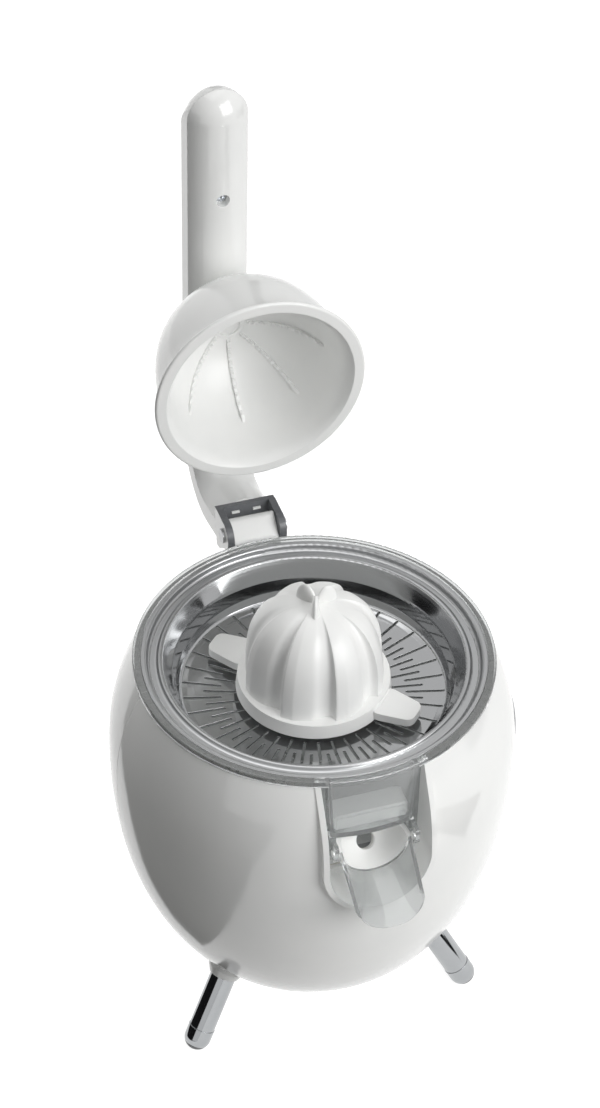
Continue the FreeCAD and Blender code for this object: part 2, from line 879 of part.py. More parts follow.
def start_switch():
    length, width, height = switch_size
    box = Part.makeBox(length, width, height, at(-length / 2, -width / 2, guide_low_z - height))
    box = box.makeFillet(1.0, [e for e in box.Edges if abs(e.BoundBox.ZLength - height) < 1e-6])
    hole_low, hole_top = at(0, 0, guide_low_z - press_travel - 1), at(0, 0, guide_low_z + 1)
    return box.cut(rod(stem_r + 6 * fit_gap, hole_low, hole_top))


def drive_shaft():
    end = rod(shaft_r - 1, at(0, 0, shaft_low_z), at(0, 0, shaft_low_z + shaft_spigot + 2))
    drive = hex_prism(shaft_hex, shaft_low_z + shaft_spigot, deck_z)
    plain = rod(shaft_r, at(0, 0, deck_z), at(0, 0, key_low_z))
    key = hex_prism(shaft_hex, key_low_z, key_top_z)
    return end.fuse([drive, plain, key])


# Reamer cone

def dome_radius(h, base_r):
    return base_r * (1 - (h / dome_h) ** dome_power) ** (1 / dome_power)


def fluted_section(h):
    """One level of the reamer: flat rib lands, one steep side each, and hollow flutes between."""
    r = dome_radius(h, rib_r)
    deep = r - flute_d * r / rib_r
    step = 2 * math.pi / rib_count
    land = rib_w / rib_r
    steep = rib_steep / rib_r
    z = skirt_z + skirt_h + h
    edges = []
    for i in range(rib_count):
        a = math.radians(rib_angle) + step * i - land / 2

        def on(radius, angle):
            return at(radius * math.cos(angle), radius * math.sin(angle), z)

        foot = a + step - steep
        middle = (a + land + foot) / 2
        edges.append(Part.Arc(on(r, a), on(r, a + land / 2), on(r, a + land)).toShape())
        edges.append(Part.Arc(on(r, a + land), on((r + 2 * deep) / 3, middle), on(deep, foot)).toShape())
        edges.append(Part.LineSegment(on(deep, foot), on(r, a + step)).toShape())
    return Part.Wire(edges)


def reamer_dome():
    levels = [dome_h * math.sin(math.radians(80.0 * i / (dome_levels - 1))) for i in range(dome_levels)]
    body = Part.makeLoft([fluted_section(h) for h in levels], True, False)
    cap_r = dome_radius(levels[-1], rib_r) - flute_d / 2
    cap_z = skirt_z + skirt_h + levels[-1]
    cap = Part.makeCone(cap_r, cap_r * 0.5, dome_h - levels[-1], at(0, 0, cap_z - 0.5))
    return body.fuse(cap)


def crown_fin():
    base_z = skirt_z + skirt_h + dome_h * 0.9
    corners = [
        (0, base_z, 0), (fin_r, base_z, 0), (fin_r * 0.94, crown_top_z - 4.0, 3.0),
        (fin_r * 0.6, crown_top_z, 2.5), (0, crown_top_z - 2.5, 0),
    ]
    return slab(corners, in_xz, -fin_t / 2, fin_t / 2)


def wing():
    a = wing_root_w / 2
    b = wing_tip_w / 2
    corners = [(skirt_r - 4, -a, 0), (wing_tip_r, -b, 4.0), (wing_tip_r, b, 4.0), (skirt_r - 4, a, 0)]
    return slab(corners, in_xy, wing_z, wing_z + wing_t)


def reamer_cone():
    top = skirt_z + skirt_h
    skirt = turned([(0, skirt_z, 0), (skirt_r, skirt_z, 1.0), (skirt_top_r, top, 1.2), (0, top, 0)])
    hollow_r = rib_r - flute_d - cone_wall
    inside = [(skirt_r - cone_wall, skirt_z - 1, 0), (hollow_r, top - cone_wall, 3.0)]
    inside += [(hollow_r * 0.9, top + dome_h * 0.45, 8.0), (hollow_r * 0.45, top + dome_h * 0.8, 3.0)]
    inside += [(0, top + dome_h * 0.8, 0), (0, skirt_z - 1, 0)]
    fins = around(crown_fin(), fin_count, fin_angle)
    solid = skirt.fuse([reamer_dome()] + fins + around(wing(), 2, wing_angle))
    solid = solid.cut(turned(inside))
    hub_low = key_low_z + seat_gap
    hub = rod(hub_r, at(0, 0, hub_low), at(0, 0, top + dome_h * 0.86))
    return solid.fuse(hub).cut(hex_prism(shaft_hex + 2 * hex_gap, hub_low - 1, key_top_z + 0.5))


# Sieve and bowl

def sieve():
    r = sieve_seat_r - 0.5
    top = sieve_lip_z
    g = gutter_in
    path = [
        (r, top, 0), (gutter_out + 0.6, top, 1.0), (gutter_out, top - gutter_d, 1.5),
        (g, top - gutter_d, 1.5), (g - 1.2, top - 1.6, 0.8), (g - 3.0, top - 1.8, 1.2),
        (g - 7.8, top - 10.0, 6.0), (g - 9.4, top - 17.0, 4.0), (g - 11.4, floor_out[1] + 0.6, 2.0),
        (*floor_out, 2.0), (*floor_in, 1.0), (sieve_hole_r, floor_in[1] - 3.6, 0),
    ]
    under = []
    for i in range(len(path)):
        u, v, radius = path[i]
        before = path[max(0, i - 1)]
        after = path[min(len(path) - 1, i + 1)]
        under.append((u, v, radius, before, after))
    lower = [offset_corner(*c) for c in reversed(under)]
    sheet = turned(path + lower)
    slots = []
    pitch = 360.0 / slot_count
    for span, start in ((outer_slot, 0.0), (inner_slot, pitch / 2)):
        half = slot_w / 2
        corners = [(span[0], -half, half * 0.98), (span[1], -half, half * 0.98),
                   (span[1], half, half * 0.98), (span[0], half, half * 0.98)]
        slots += around(slab(corners, in_xy, floor_in[1] - 5, floor_out[1] + 3), slot_count, start)
    return sheet.cut(Part.makeCompound(slots))


def offset_corner(u, v, radius, before, after):
    """Corner of the sheet's underside: the same path moved by the sheet's thickness."""
    ends = []
    for a, b in ((before, (u, v)), ((u, v), after)):
        du, dv = b[0] - a[0], b[1] - a[1]
        length = math.hypot(du, dv)
        if length > 1e-9:
            ends.append((-dv / length, du / length))
    nu = sum(n[0] for n in ends) / len(ends)
    nv = sum(n[1] for n in ends) / len(ends)
    scale = sheet_t / (nu * nu + nv * nv)
    turn = (u - before[0]) * (after[1] - v) - (v - before[1]) * (after[0] - u)
    if radius:
        radius = radius + sheet_t if turn < 0 else max(0.2, radius - sheet_t)
    return (u + nu * scale, v + nv * scale, radius)


def chute_prism(grow, r):
    """Tapered duct behind the window, cut to the radius of its front wall."""
    top = shell_top_z + 0.5
    corners = [
        (-chute_top_half_w + grow, top, 0), (-chute_low_half_w + grow, chute_low_z + grow, 2.0),
        (chute_low_half_w - grow, chute_low_z + grow, 2.0), (chute_top_half_w - grow, top, 0),
    ]
    return slab(corners, in_xz, -body_r, pivot_y + 2 * ball_r).common(Part.makeCylinder(r, 300.0))


def pivot():
    return at(0, pivot_y, pivot_z)


def below(z):
    return Part.makeBox(300, 300, z, at(-150, -150, 0))


def outlet_ray(distance):
    a = math.radians(outlet_angle)
    return pivot() + at(0, math.cos(a) * distance, -math.sin(a) * distance)


def juice_bowl():
    top = bowl_top_z
    floor = bowl_floor_z
    under = floor - bowl_wall
    seat = top - sieve_seat_h
    bend_z = seat - 10.0
    inner_top = bowl_top_r - bowl_rim_wall
    inner_low = bowl_low_r - bowl_wall
    inner = [(inner_top, bend_z, 10.0), (inner_low, floor, 7.0)]
    outer = [(bowl_low_r, under, 8.0), (bowl_top_r, bend_z, 10.0)]
    shell = turned([
        (bowl_flange_r, shell_top_z, 0), (bowl_flange_r, top, 0.9), (sieve_seat_r, top, 0.4),
        (sieve_seat_r, seat, 0), (inner_top, seat, 0), *inner,
        (chimney_r, floor, 1.5), (chimney_r, chimney_top_z, 0), (chimney_r - bowl_wall, chimney_top_z, 0),
        (chimney_r - bowl_wall, under, 0), *outer, (bowl_top_r, shell_top_z, 0),
    ])
    cavity = turned([(chimney_r, floor, 0), (0, floor, 0), (0, top, 0), (inner_top, top, 0), *inner])
    blank = turned([(0, under, 0), *outer, (bowl_top_r, shell_top_z, 0), (0, shell_top_z, 0)])
    duct = chute_prism(bowl_wall, chute_r - bowl_wall)
    walls = chute_prism(0.0, chute_r).cut([duct, cavity])
    roof_z = chute_low_z + bowl_wall
    dent = Part.makeSphere(ball_r + ball_gap, pivot()).common(below(chute_low_z))
    seat_ball = Part.makeSphere(ball_r + ball_gap + bowl_wall, pivot()).common(below(roof_z)).common(blank)
    solid = shell.cut(duct).fuse([walls, seat_ball])
    lug = slab([
        (pivot_y - lug_r, pivot_z - lug_r, lug_r * 0.98), (pivot_y - lug_r, chute_low_z + 1, 2.0),
        (pivot_y + lug_back, chute_low_z + 1, 0), (pivot_y + lug_back, pivot_z - 3, 0),
        (pivot_y + lug_r, pivot_z - lug_r, 3.0),
    ], in_yz, lug_x, lug_x + lug_t)
    lugs = lug.fuse(lug.mirror(origin, at(1, 0, 0))).cut(cavity)
    solid = solid.fuse(lugs).cut(dent)
    holes = [
        rod(trunnion_r + running_gap, pivot() - at(40, 0, 0), pivot() + at(40, 0, 0)),
        rod(seal_ring_r, outlet_ray(ball_r - 4), outlet_ray(ball_r + ball_gap + bowl_wall + 3)),
    ]
    return solid.cut(holes)


def outlet_seal():
    ring = rod(seal_ring_r - fit_gap, outlet_ray(ball_r - 4), outlet_ray(ball_r + ball_gap + bowl_wall))
    ring = ring.cut(Part.makeSphere(ball_r + ball_gap / 3, pivot()))
    return ring.cut(rod(outlet_r, outlet_ray(0), outlet_ray(ball_r + 10)))


# Spout

def spout_cup():
    ball = Part.makeSphere(ball_r, pivot()).cut(Part.makeSphere(ball_r - ball_wall, pivot()))
    behind = Part.makeBox(100, 60, 60, at(-50, pivot_y, pivot_z - 60))
    lifted = Part.makeBox(100, 60, 60, at(-50, pivot_y, pivot_z - 60))
    lifted.rotate(pivot(), at(1, 0, 0), ball_back_angle)
    cup = ball.common(behind.fuse(lifted).common(Part.makeBox(100, 60, 100, at(-50, pivot_y, pivot_z - 60))))
    pin_end = lug_x + lug_t
    start = trough_half_w + seat_gap
    pins = [rod(trunnion_r, pivot() + at(s * start, 0, 0), pivot() + at(s * pin_end, 0, 0)) for s in (-1, 1)]
    return cup.fuse(pins).cut(rod(outlet_r, outlet_ray(0), outlet_ray(ball_r + 5)))


def trough_loft(inset, over):
    """Half-round head running out to a shallow tip, drawn lying flat along -Y."""
    def bow(half_w, depth, y):
        left = at(-half_w, y, 0)
        right = at(half_w, y, 0)
        low = Part.Arc(left, at(0, y, -depth), right).toShape()
        rise = [right, right + at(0, 0, over), left + at(0, 0, over), left]
        return Part.Wire([low] + Part.makePolygon(rise).Edges)

    head = bow(trough_half_w - inset, trough_half_w - inset, 0.0)
    tip = bow(trough_tip_half_w - inset, trough_tip_d - inset, -trough_len)
    return Part.makeLoft([head, tip], True, True)


def spout_trough():
    w = trough_half_w
    tip = -trough_len
    corners = [(-w, 0, 0), (-w, tip, w * 0.86), (w, tip, w * 0.86), (w, 0, 0)]
    plan = slab(corners, in_xy, -2 * w, 0.0)
    tray = trough_loft(0.0, 1.0).cut(trough_loft(trough_wall, 2.0)).common(plan)
    tray.rotate(origin, at(1, 0, 0), trough_slope)
    tray.translate(pivot())
    front = Part.makeBox(100, 80, 100, at(-50, pivot_y - 80 - seat_gap, pivot_z - 80))
    return tray.common(front)


# Rocker switch and gland

def rocker_pivot():
    return at(body_r - 3.0, 0, rocker_z)


def rocker_frame():
    w = rocker_w / 2
    h = rocker_h / 2
    outer = Part.makeBox(2 * bezel_depth, 2 * w, 2 * h, at(body_r - bezel_depth, -w, rocker_z - h))
    flange = Part.makeBox(30, 2 * (w + bezel_w), 2 * (h + bezel_w),
                          at(body_r - 20, -w - bezel_w, rocker_z - h - bezel_w))
    long_edges = [e for e in flange.Edges if abs(e.BoundBox.XLength - 30) < 1e-6]
    flange = radial_frame(flange.makeFillet(2.0, long_edges), rocker_angle)
    low = rocker_z - rocker_h
    proud = body_blank(low, rocker_z + rocker_h, -bezel_rise)
    flange = flange.cut(body_blank(low, rocker_z + rocker_h, -seat_gap))
    sleeve = radial_frame(outer, rocker_angle).fuse(flange).common(proud)
    t = bezel_wall
    room = Part.makeBox(40, 2 * (w - t), 2 * (h - t), at(body_r - bezel_depth + 2, -w + t, rocker_z - h + t))
    return sleeve.cut(radial_frame(room.fuse(rocker_pin(rocker_pin_r + running_gap)), rocker_angle))


def rocker_pin(r):
    reach = at(0, rocker_w / 2 - 4 * fit_gap, 0)
    return rod(r, rocker_pivot() - reach, rocker_pivot() + reach)


def switch_rocker():
    """Rocker with its lower end out, hung on a pin across the frame."""
    p = rocker_pivot()
    reach = rocker_h / 2 - bezel_wall - rocker_gap
    half_w = rocker_w / 2 - bezel_wall - 2 * fit_gap
    tip = math.tan(math.radians(rocker_tilt)) * reach
    corners = [
        (p.x - 4.0, p.z - reach + 3.0, 1.0), (p.x + 2.0, p.z - reach, 0.5),
        (p.x + rocker_out + tip * 0.7, p.z - reach, 0.8), (p.x + rocker_out - 1.6, p.z, 3.0),
        (p.x + rocker_out - tip * 0.4, p.z + reach, 0.8), (p.x - 1.0, p.z + reach - 1.0, 0.5),
        (p.x - 4.0, p.z + reach - 4.0, 1.0),
    ]
    paddle = slab(corners, in_xz, -half_w, half_w).fuse(rocker_pin(rocker_pin_r))
    return radial_frame(paddle, rocker_angle)


def cord_gland():
    r = body_radius(gland_z)
    wall = polar(r, gland_angle, gland_z)
    out = polar(1.0, gland_angle, 0.0)
    skin = body_blank(shell_base_z, waist_z + 20, -seat_gap)
    proud = body_blank(shell_base_z, waist_z + 20, -gland_rise)
    flange = rod(gland_flange_r, wall - out * 4, wall + out * 6).cut(skin)
    body = rod(gland_r, wall - out * 8, wall + out * 6).fuse(flange)
    return body.common(proud).cut(gland_hole(gland_bore_r))


# Hinge and lever arm

def hinge_block():
    heel = on_riser(slot_back - stop_gap, -3.0)
    toe = on_riser(slot_back - stop_gap, -8.5)
    side = slab([
        (bowl_flange_r + 0.4, pin_z - 3.0, 1.0), (pin_y + 2.6, pin_z + 7.4, 2.5),
        (pin_y + 6.6, pin_z + 4.6, 2.5),
        (heel.y, heel.z, 1.5), (toe.y, toe.z, 1.5), (pin_y + 4.0, pin_z - 25.0, 4.0),
        (pin_y - 10.0, pin_z - 27.0, 0), (pin_y - 14.0, pin_z - 3.0, 0),
    ], in_yz, -block_half_w, block_half_w)
    clear_flange = Part.makeCylinder(bowl_flange_r + 0.3, 20.0, at(0, 0, shell_top_z - 0.1))
    block = side.cut([body_blank(shell_base_z, shell_top_z, -seat_gap), clear_flange])
    cuts = [rod(pin_r + fit_gap, at(-30, pin_y, pin_z), at(30, pin_y, pin_z))]
    for x in (-hinge_screw_x, hinge_screw_x):
        p, n = hinge_screw_seat(x)
        cuts.append(rod(screw_r, p - n, p + n * 8))
    return block.cut(cuts)


def hinge_screws():
    one = []
    for x in (-hinge_screw_x, hinge_screw_x):
        p, n = hinge_screw_seat(x)
        one.append(screw(p - n * (shell_wall + 1.0), n, shell_wall + 7.0))
    return Part.makeCompound(one)


def hinge_pin():
    inside = cheek_half_w + pin_float
    end = inside + pin_head_t
    pin = rod(pin_r, at(-end, pin_y, pin_z), at(end, pin_y, pin_z))
    heads = [rod(pin_head_r, at(s * inside, pin_y, pin_z), at(s * end, pin_y, pin_z)) for s in (-1, 1)]
    return pin.fuse(heads)


tilt = math.radians(riser_tilt)
riser_back = at(0, math.cos(tilt), -math.sin(tilt))
riser_up = at(0, math.sin(tilt), math.cos(tilt))


def on_riser(along, up):
    return at(0, pin_y, pin_z) + riser_back * along + riser_up * up


def clevis_slab(corners, half_w):
    face = Part.Face(outline(corners, on_riser))
    face.translate(at(-half_w, 0, 0))
    return face.extrude(at(2 * half_w, 0, 0))


def arm_clevis():
    low = arm_rise - arm_depth
    cheeks = clevis_slab([(0, cheek_r, 0), (slot_back - 1.0, frame_top, 2.0), (frame_back, frame_top, 0),
                          (frame_back, low, 0), (slot_back - 1.0, low, 3.0), (0, -cheek_r, 0)], cheek_half_w)
    knuckle = rod(cheek_r, at(-cheek_half_w, pin_y, pin_z), at(cheek_half_w, pin_y, pin_z))
    plug_w = arm_half_w - arm_wall - plug_gap
    over = arm_rise - part_gap
    plug = clevis_slab([(frame_back - 1, over, 0), (frame_back + clevis_plug, over, 1.0),
                        (frame_back + clevis_plug, low + arm_wall + plug_gap, 1.0),
                        (frame_back - 1, low + arm_wall + plug_gap, 0)], plug_w)
    corner_edges = [e for e in plug.Edges if e.Length > clevis_plug * 0.8 and abs(e.BoundBox.XLength) < 1e-6
                    and e.BoundBox.YLength > clevis_plug * 0.8]
    plug = plug.makeFillet(arm_corner - arm_wall + 2 * plug_gap, low_edges(corner_edges))
    room = clevis_slab([(-20, 30, 0), (slot_back, 30, 0), (slot_back, -30, 0), (-20, -30, 0)],
                       block_half_w + cheek_gap)
    body = cheeks.fuse([knuckle, plug]).cut([room] + cover_tabs(screw_gap))
    return body.cut(rod(pin_r + running_gap, at(-30, pin_y, pin_z), at(30, pin_y, pin_z)))


def cover_tabs(grow):
    """The pair of hooks at the cover's end that pass through the clevis frame."""
    half = tab_t / 2 + grow
    root, end = slot_back - 0.6, frame_back + 3.0
    corners = [(root, tab_up - half, 0), (root, tab_up + half, 0), (end, tab_up + half, 0), (end, tab_up - half, 0)]
    blade = clevis_slab(corners, tab_w / 2 + grow)
    return [blade.translated(at(s * tab_x, 0, 0)) for s in (-1, 1)]


def low_edges(edges):
    """The pair of edges that lie lowest."""
    return sorted(edges, key=lambda e: e.BoundBox.Center.z)[:2]


def arm_path(start):
    """Parting line of the arm in the YZ plane: riser, bend and straight lever."""
    first = on_riser(start, arm_rise)
    turn_y = arm_y - arm_bend * (1 + math.sin(tilt))
    run = (turn_y - first.y) / math.cos(tilt)
    tangent = first + riser_back * run
    centre = tangent + riser_up * arm_bend
    sweep = (math.radians(90) + tilt) / 2
    mid = centre + (riser_back * math.sin(sweep) - riser_up * math.cos(sweep)) * arm_bend
    foot_of_lever = at(0, arm_y, centre.z)
    top = at(0, arm_y, arm_top_z - arm_half_w)
    edges = [Part.LineSegment(first, tangent).toShape(), Part.Arc(tangent, mid, foot_of_lever).toShape()]
    return Part.Wire(edges + [Part.LineSegment(foot_of_lever, top).toShape()]), top


def back_section(inset, over):
    """Half of the rear shell's section: (x, v) with v measured from the parting line."""
    w = arm_half_w - inset
    d = arm_depth - inset
    r = arm_corner - inset
    return [(-w, over, 0), (w, over, 0), (w, -d, r), (-w, -d, r)]


def crown_wire(inset, over, place):
    w = arm_half_w - inset
    ends = [place(-w, over), place(0, arm_crown - inset), place(w, over)]
    return Part.Wire([Part.Arc(*ends).toShape(), Part.LineSegment(ends[2], ends[0]).toShape()])


def arm_start(u, v):
    return on_riser(frame_back, arm_rise) + at(u, 0, 0) + riser_up * v


def lever_top(u, v):
    return arm_path(frame_back)[1] + at(u, -v, 0)


def half_plane_cut(wire, top):
    face = Part.Face(wire)
    return face.common(Part.makeBox(200, 400, 2, at(0, top.y - 200, top.z - 1)))


def swept_arm(wire_of):
    """Section swept along the arm, with its rounded end turned about the lever's last point."""
    path, top = arm_path(frame_back)
    body = path.makePipeShell([wire_of(arm_start)], True, False)
    half = half_plane_cut(wire_of(lever_top), top)
    end = half.Faces[0].revolve(top, at(0, -1, 0), 180)
    if end.Volume < 0:
        end.reverse()
    return body.fuse(end)


def arm_nose(inset):
    """Half ellipsoid over a straight column that rounds the lever's back over at the top."""
    w = arm_nose_w - inset
    start = at(0, arm_y, arm_top_z - arm_nose_h)
    stretch = FreeCAD.Matrix()
    stretch.scale(1.0, 1.0, (arm_nose_h - inset) / w)
    cap = Part.makeSphere(w, origin, axis_z, 0, 90, 360).transformGeometry(stretch).translated(start)
    column = Part.makeBox(4 * w, 8 * w, start.z, at(-2 * w, arm_y - 7 * w, 0))
    return cap.fuse(column)


def lever_screw_seat(z):
    return at(0, arm_y - arm_crown, z)


def arm_upper_shell():
    outer = swept_arm(lambda place: outline(back_section(0.0, 0.0), place)).common(arm_nose(0.0))
    inner = swept_arm(lambda place: outline(back_section(arm_wall, 1.0), place)).common(arm_nose(arm_wall))
    shell = outer.cut(inner)
    for z in arm_screw_z:
        post = rod(screw_r + 2.0, at(0, arm_y + arm_depth - 1, z), at(0, arm_y - 1.8, z))
        shell = shell.fuse(post).cut(rod(screw_r, at(0, arm_y + arm_depth - 5, z), at(0, arm_y - 5, z)))
    return shell


def raised(shape):
    return shape.rotated(at(0, pin_y, pin_z), at(1, 0, 0), -arm_open)


def boss_end_height():
    """Height on the cup's axis at which it meets the seat inside the arm."""
    low = cup_axis(0)
    step = cup_axis(1) - low
    return (arm_y - 1.2 - low.y) / step.y


def arm_lower_cover():
    outer = swept_arm(lambda place: crown_wire(0.0, part_gap, place))
    inner = swept_arm(lambda place: crown_wire(arm_wall - 0.2, part_gap - 0.5, place))
    cover = outer.cut(inner)
    for z in arm_screw_z:
        face = lever_screw_seat(z)
        pit = at(0, face.y + arm_recess_d, z)
        cup = rod(arm_recess_r + 1.4, at(0, arm_y - 2.0, z), face).common(outer)
        hole = rod(screw_r + screw_gap, pit + at(0, -1, 0), at(0, arm_y + 1, z))
        cover = cover.fuse(cup).cut([rod(arm_recess_r, face - at(0, 2, 0), pit), hole])
    cover = cover.fuse([tab.cut(inner) for tab in cover_tabs(0.0)])
    return cover.cut(rod(cup_boss_r + screw_gap, cup_axis(cup_depth - 12), cup_axis(cup_depth + 30)))


def arm_screws():
    seat = [at(0, arm_y - arm_crown + arm_recess_d, z) for z in arm_screw_z]
    return Part.makeCompound([screw(p, at(0, 1, 0), 11.0) for p in seat])


# Press cup, modelled closed over the cone and then raised with the arm

def dome_height(r, radius, depth, power):
    return depth * (1 - (r / radius) ** power) ** (1 / power)


def dome(radius, depth, power, drop=0.0):
    """Solid dome above the rim plane with a flared foot, or from a little below that plane."""
    points = []
    for i in range(14):
        h = depth * math.sin(math.radians(90 * (i / 13) ** 1.5))
        r = radius * max(0.0, 1 - (h / depth) ** power) ** (1 / power)
        flare = cup_flare * math.exp(-h / cup_flare_run) if i < 13 else 0.0
        points.append(in_xz(r + flare, cup_rim_z + h))
    low = cup_rim_z - drop
    rest = [points[-1], in_xz(0, low), in_xz(points[0].x, low)]
    if drop:
        rest.append(points[0])
    wire = Part.Wire([curve(points)] + Part.makePolygon(rest).Edges)
    return Part.Face(wire).revolve(origin, axis_z, 360)


def press_cup_shell():
    room = dome(cup_r - cup_wall, cup_depth - cup_wall, cup_power, 1.0)
    shell = dome(cup_r, cup_depth, cup_power).cut(room)
    lip = Part.makeCylinder(100, liner_lip_t + seat_gap, at(0, 0, cup_rim_z))
    shell = shell.cut(lip)
    top = cup_rim_z + boss_end_height()
    boss = rod(cup_boss_r, at(0, 0, cup_rim_z + cup_depth - 3.0), at(0, 0, top))
    shell = shell.fuse(boss).cut(rod(cup_screw_r, at(0, 0, top - 9), at(0, 0, top + 1)))
    return raised(shell)


def press_rib():
    """Serrated blade that lies along the liner's dome."""
    root = []
    edge = []
    first, last = press_rib_span
    steps = 2 * press_rib_teeth
    for i in range(steps + 1):
        r = first + (last - first) * i / steps
        h = dome_height(r, liner_r, liner_depth, liner_power)
        slope = math.atan2(r ** (liner_power - 1) / liner_r ** liner_power,
                           h ** (liner_power - 1) / liner_depth ** liner_power)
        rise = press_rib_h * (1.0 if i % 2 else 0.45)
        if i in (0, steps):
            rise = 0.0
        deep = liner_wall / 3
        root.append(in_xz(r + deep * math.sin(slope), cup_rim_z + h + deep * math.cos(slope)))
        edge.append(in_xz(r - rise * math.sin(slope), cup_rim_z + h - rise * math.cos(slope)))
    loop = root + list(reversed(edge))
    face = Part.Face(Part.makePolygon(loop + loop[:1]))
    face.translate(at(0, -press_rib_t / 2, 0))
    return face.extrude(at(0, press_rib_t, 0))


def press_cup_liner():
    skin = dome(liner_r + liner_wall, liner_depth + liner_wall, liner_power)
    liner = skin.cut(dome(liner_r, liner_depth, liner_power, 1.0))
    lip_in = liner_r + cup_flare - 0.2
    lip = turned([
        (lip_in, cup_rim_z, 0.8), (liner_lip_r, cup_rim_z, 1.2), (liner_lip_r, cup_rim_z + liner_lip_t, 1.2),
        (lip_in, cup_rim_z + liner_lip_t, 0),
    ]).cut(dome(liner_r, liner_depth, liner_power, 1.0))
    ring_z = cup_rim_z + dome_height(apex_ring_r, liner_r, liner_depth, liner_power)
    ring = tube(apex_ring_r + 0.8, apex_ring_r - 0.8, at(0, 0, ring_z - 0.8), axis_z, 1.6)
    ribs = around(press_rib(), press_rib_count)
    return raised(liner.fuse([lip, ring] + ribs))


def cup_screw():
    top = cup_rim_z + boss_end_height()
    return raised(screw(at(0, 0, top), axis_z * -1, 8.0, cup_screw_r - 0.02, cup_head_r, cup_head_t))


def main():
    os.makedirs("parts", exist_ok=True)
    whole = casing()
    save("front_shell", front_shell(whole))
    save("rear_shell", rear_shell(whole))
    save("spout_surround", spout_surround())
    save("bottom_cover", bottom_cover())
    for name, angle in leg_angles.items():
        save("leg_" + name, leg().rotated(origin, axis_z, angle))
        save("foot_" + name, foot().rotated(origin, axis_z, angle))
    screws = [leg_screw().rotated(origin, axis_z, a) for a in leg_angles.values()]
    save("leg_screws", Part.makeCompound(screws))
    save("base_screws", base_screws())
    save("inner_deck", inner_deck())
    save("deck_screws", deck_screws())
    save("upper_bush", upper_bush())
    save("shaft_seal", shaft_seal())
    save("gear_plate", gear_plate())
    save("gear_pillars", gear_pillars())
    save("pillar_screws", pillar_screws())
    save("idler_axle", idler_axle())
    save("idler_gear", idler_gear())
    save("output_gear", output_gear())
    save("motor_can", motor_can())
    save("motor_magnets", motor_magnets())
    save("motor_end_cap", motor_end_cap())
    save("motor_rotor", motor_rotor())
    save("motor_screws", motor_screws())
    save("thrust_plunger", thrust_plunger())
    save("return_spring", return_spring())
    save("start_switch", start_switch())
    save("drive_shaft", drive_shaft())
    save("reamer_cone", reamer_cone())
    save("juice_bowl", juice_bowl())
    save("outlet_seal", outlet_seal())
    save("sieve", sieve())
    save("spout_cup", spout_cup())
    save("spout_trough", spout_trough())
    save("rocker_frame", rocker_frame())
    save("switch_rocker", switch_rocker())
    save("cord_gland", cord_gland())
    save("hinge_block", hinge_block())
    save("hinge_screws", hinge_screws())
    save("hinge_pin", hinge_pin())
    save("arm_clevis", arm_clevis())
    save("arm_upper_shell", arm_upper_shell())
    save("arm_lower_cover", arm_lower_cover())
    save("arm_screws", arm_screws())
    save("press_cup_shell", press_cup_shell())
    save("press_cup_liner", press_cup_liner())
    save("cup_screw", cup_screw())


main()
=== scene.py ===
import json
import math

import bmesh
import bpy
import numpy as np
from mathutils import Matrix, Vector


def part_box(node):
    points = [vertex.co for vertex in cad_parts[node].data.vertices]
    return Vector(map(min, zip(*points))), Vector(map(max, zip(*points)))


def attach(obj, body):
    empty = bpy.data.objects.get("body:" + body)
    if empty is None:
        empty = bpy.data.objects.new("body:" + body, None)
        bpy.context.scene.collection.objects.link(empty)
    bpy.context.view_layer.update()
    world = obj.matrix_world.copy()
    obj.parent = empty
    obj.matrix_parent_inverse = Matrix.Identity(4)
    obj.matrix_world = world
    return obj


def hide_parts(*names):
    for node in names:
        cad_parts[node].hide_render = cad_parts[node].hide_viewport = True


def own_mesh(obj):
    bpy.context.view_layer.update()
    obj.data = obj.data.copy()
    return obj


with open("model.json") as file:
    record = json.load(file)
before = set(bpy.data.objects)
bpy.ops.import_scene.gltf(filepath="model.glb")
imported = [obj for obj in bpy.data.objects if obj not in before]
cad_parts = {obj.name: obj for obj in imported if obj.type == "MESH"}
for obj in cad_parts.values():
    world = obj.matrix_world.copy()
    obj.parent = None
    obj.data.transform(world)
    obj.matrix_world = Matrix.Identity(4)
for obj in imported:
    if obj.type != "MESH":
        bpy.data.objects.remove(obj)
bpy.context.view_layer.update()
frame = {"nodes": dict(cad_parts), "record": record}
nodes = frame["nodes"]
slotOf = {row["node"]: row["material_slot"] for row in frame["record"]["subparts"]}
bodies = frame["record"]["behaviour"]["bodies"]
bodyOf = {name: body for body, names in bodies.items() for name in names}
mm = 0.001
weld = 0.001 * mm  # vertices nearer than this are one
print("frame loaded,", len(nodes), "pieces")


def linear(hexColour):
    parts = [int(hexColour[i:i + 2], 16) / 255 for i in (0, 2, 4)]
    return [p / 12.92 if p <= 0.04045 else ((p + 0.055) / 1.055) ** 2.4 for p in parts] + [1.0]


# one node with its settings (properties or sockets) and its incoming links
def addNode(tree, kind, settings=None, links=None):
    node = tree.nodes.new(kind)
    for name, value in (settings or {}).items():
        if isinstance(name, str) and hasattr(node, name):
            setattr(node, name, value)
        else:
            node.inputs[name].default_value = value
    for name, source in (links or {}).items():
        tree.links.new(source, node.inputs[name])
    return node


def emptyMaterial(name):
    material = bpy.data.materials.new(name)
    material.use_nodes = True
    material.node_tree.nodes.clear()
    return material, material.node_tree


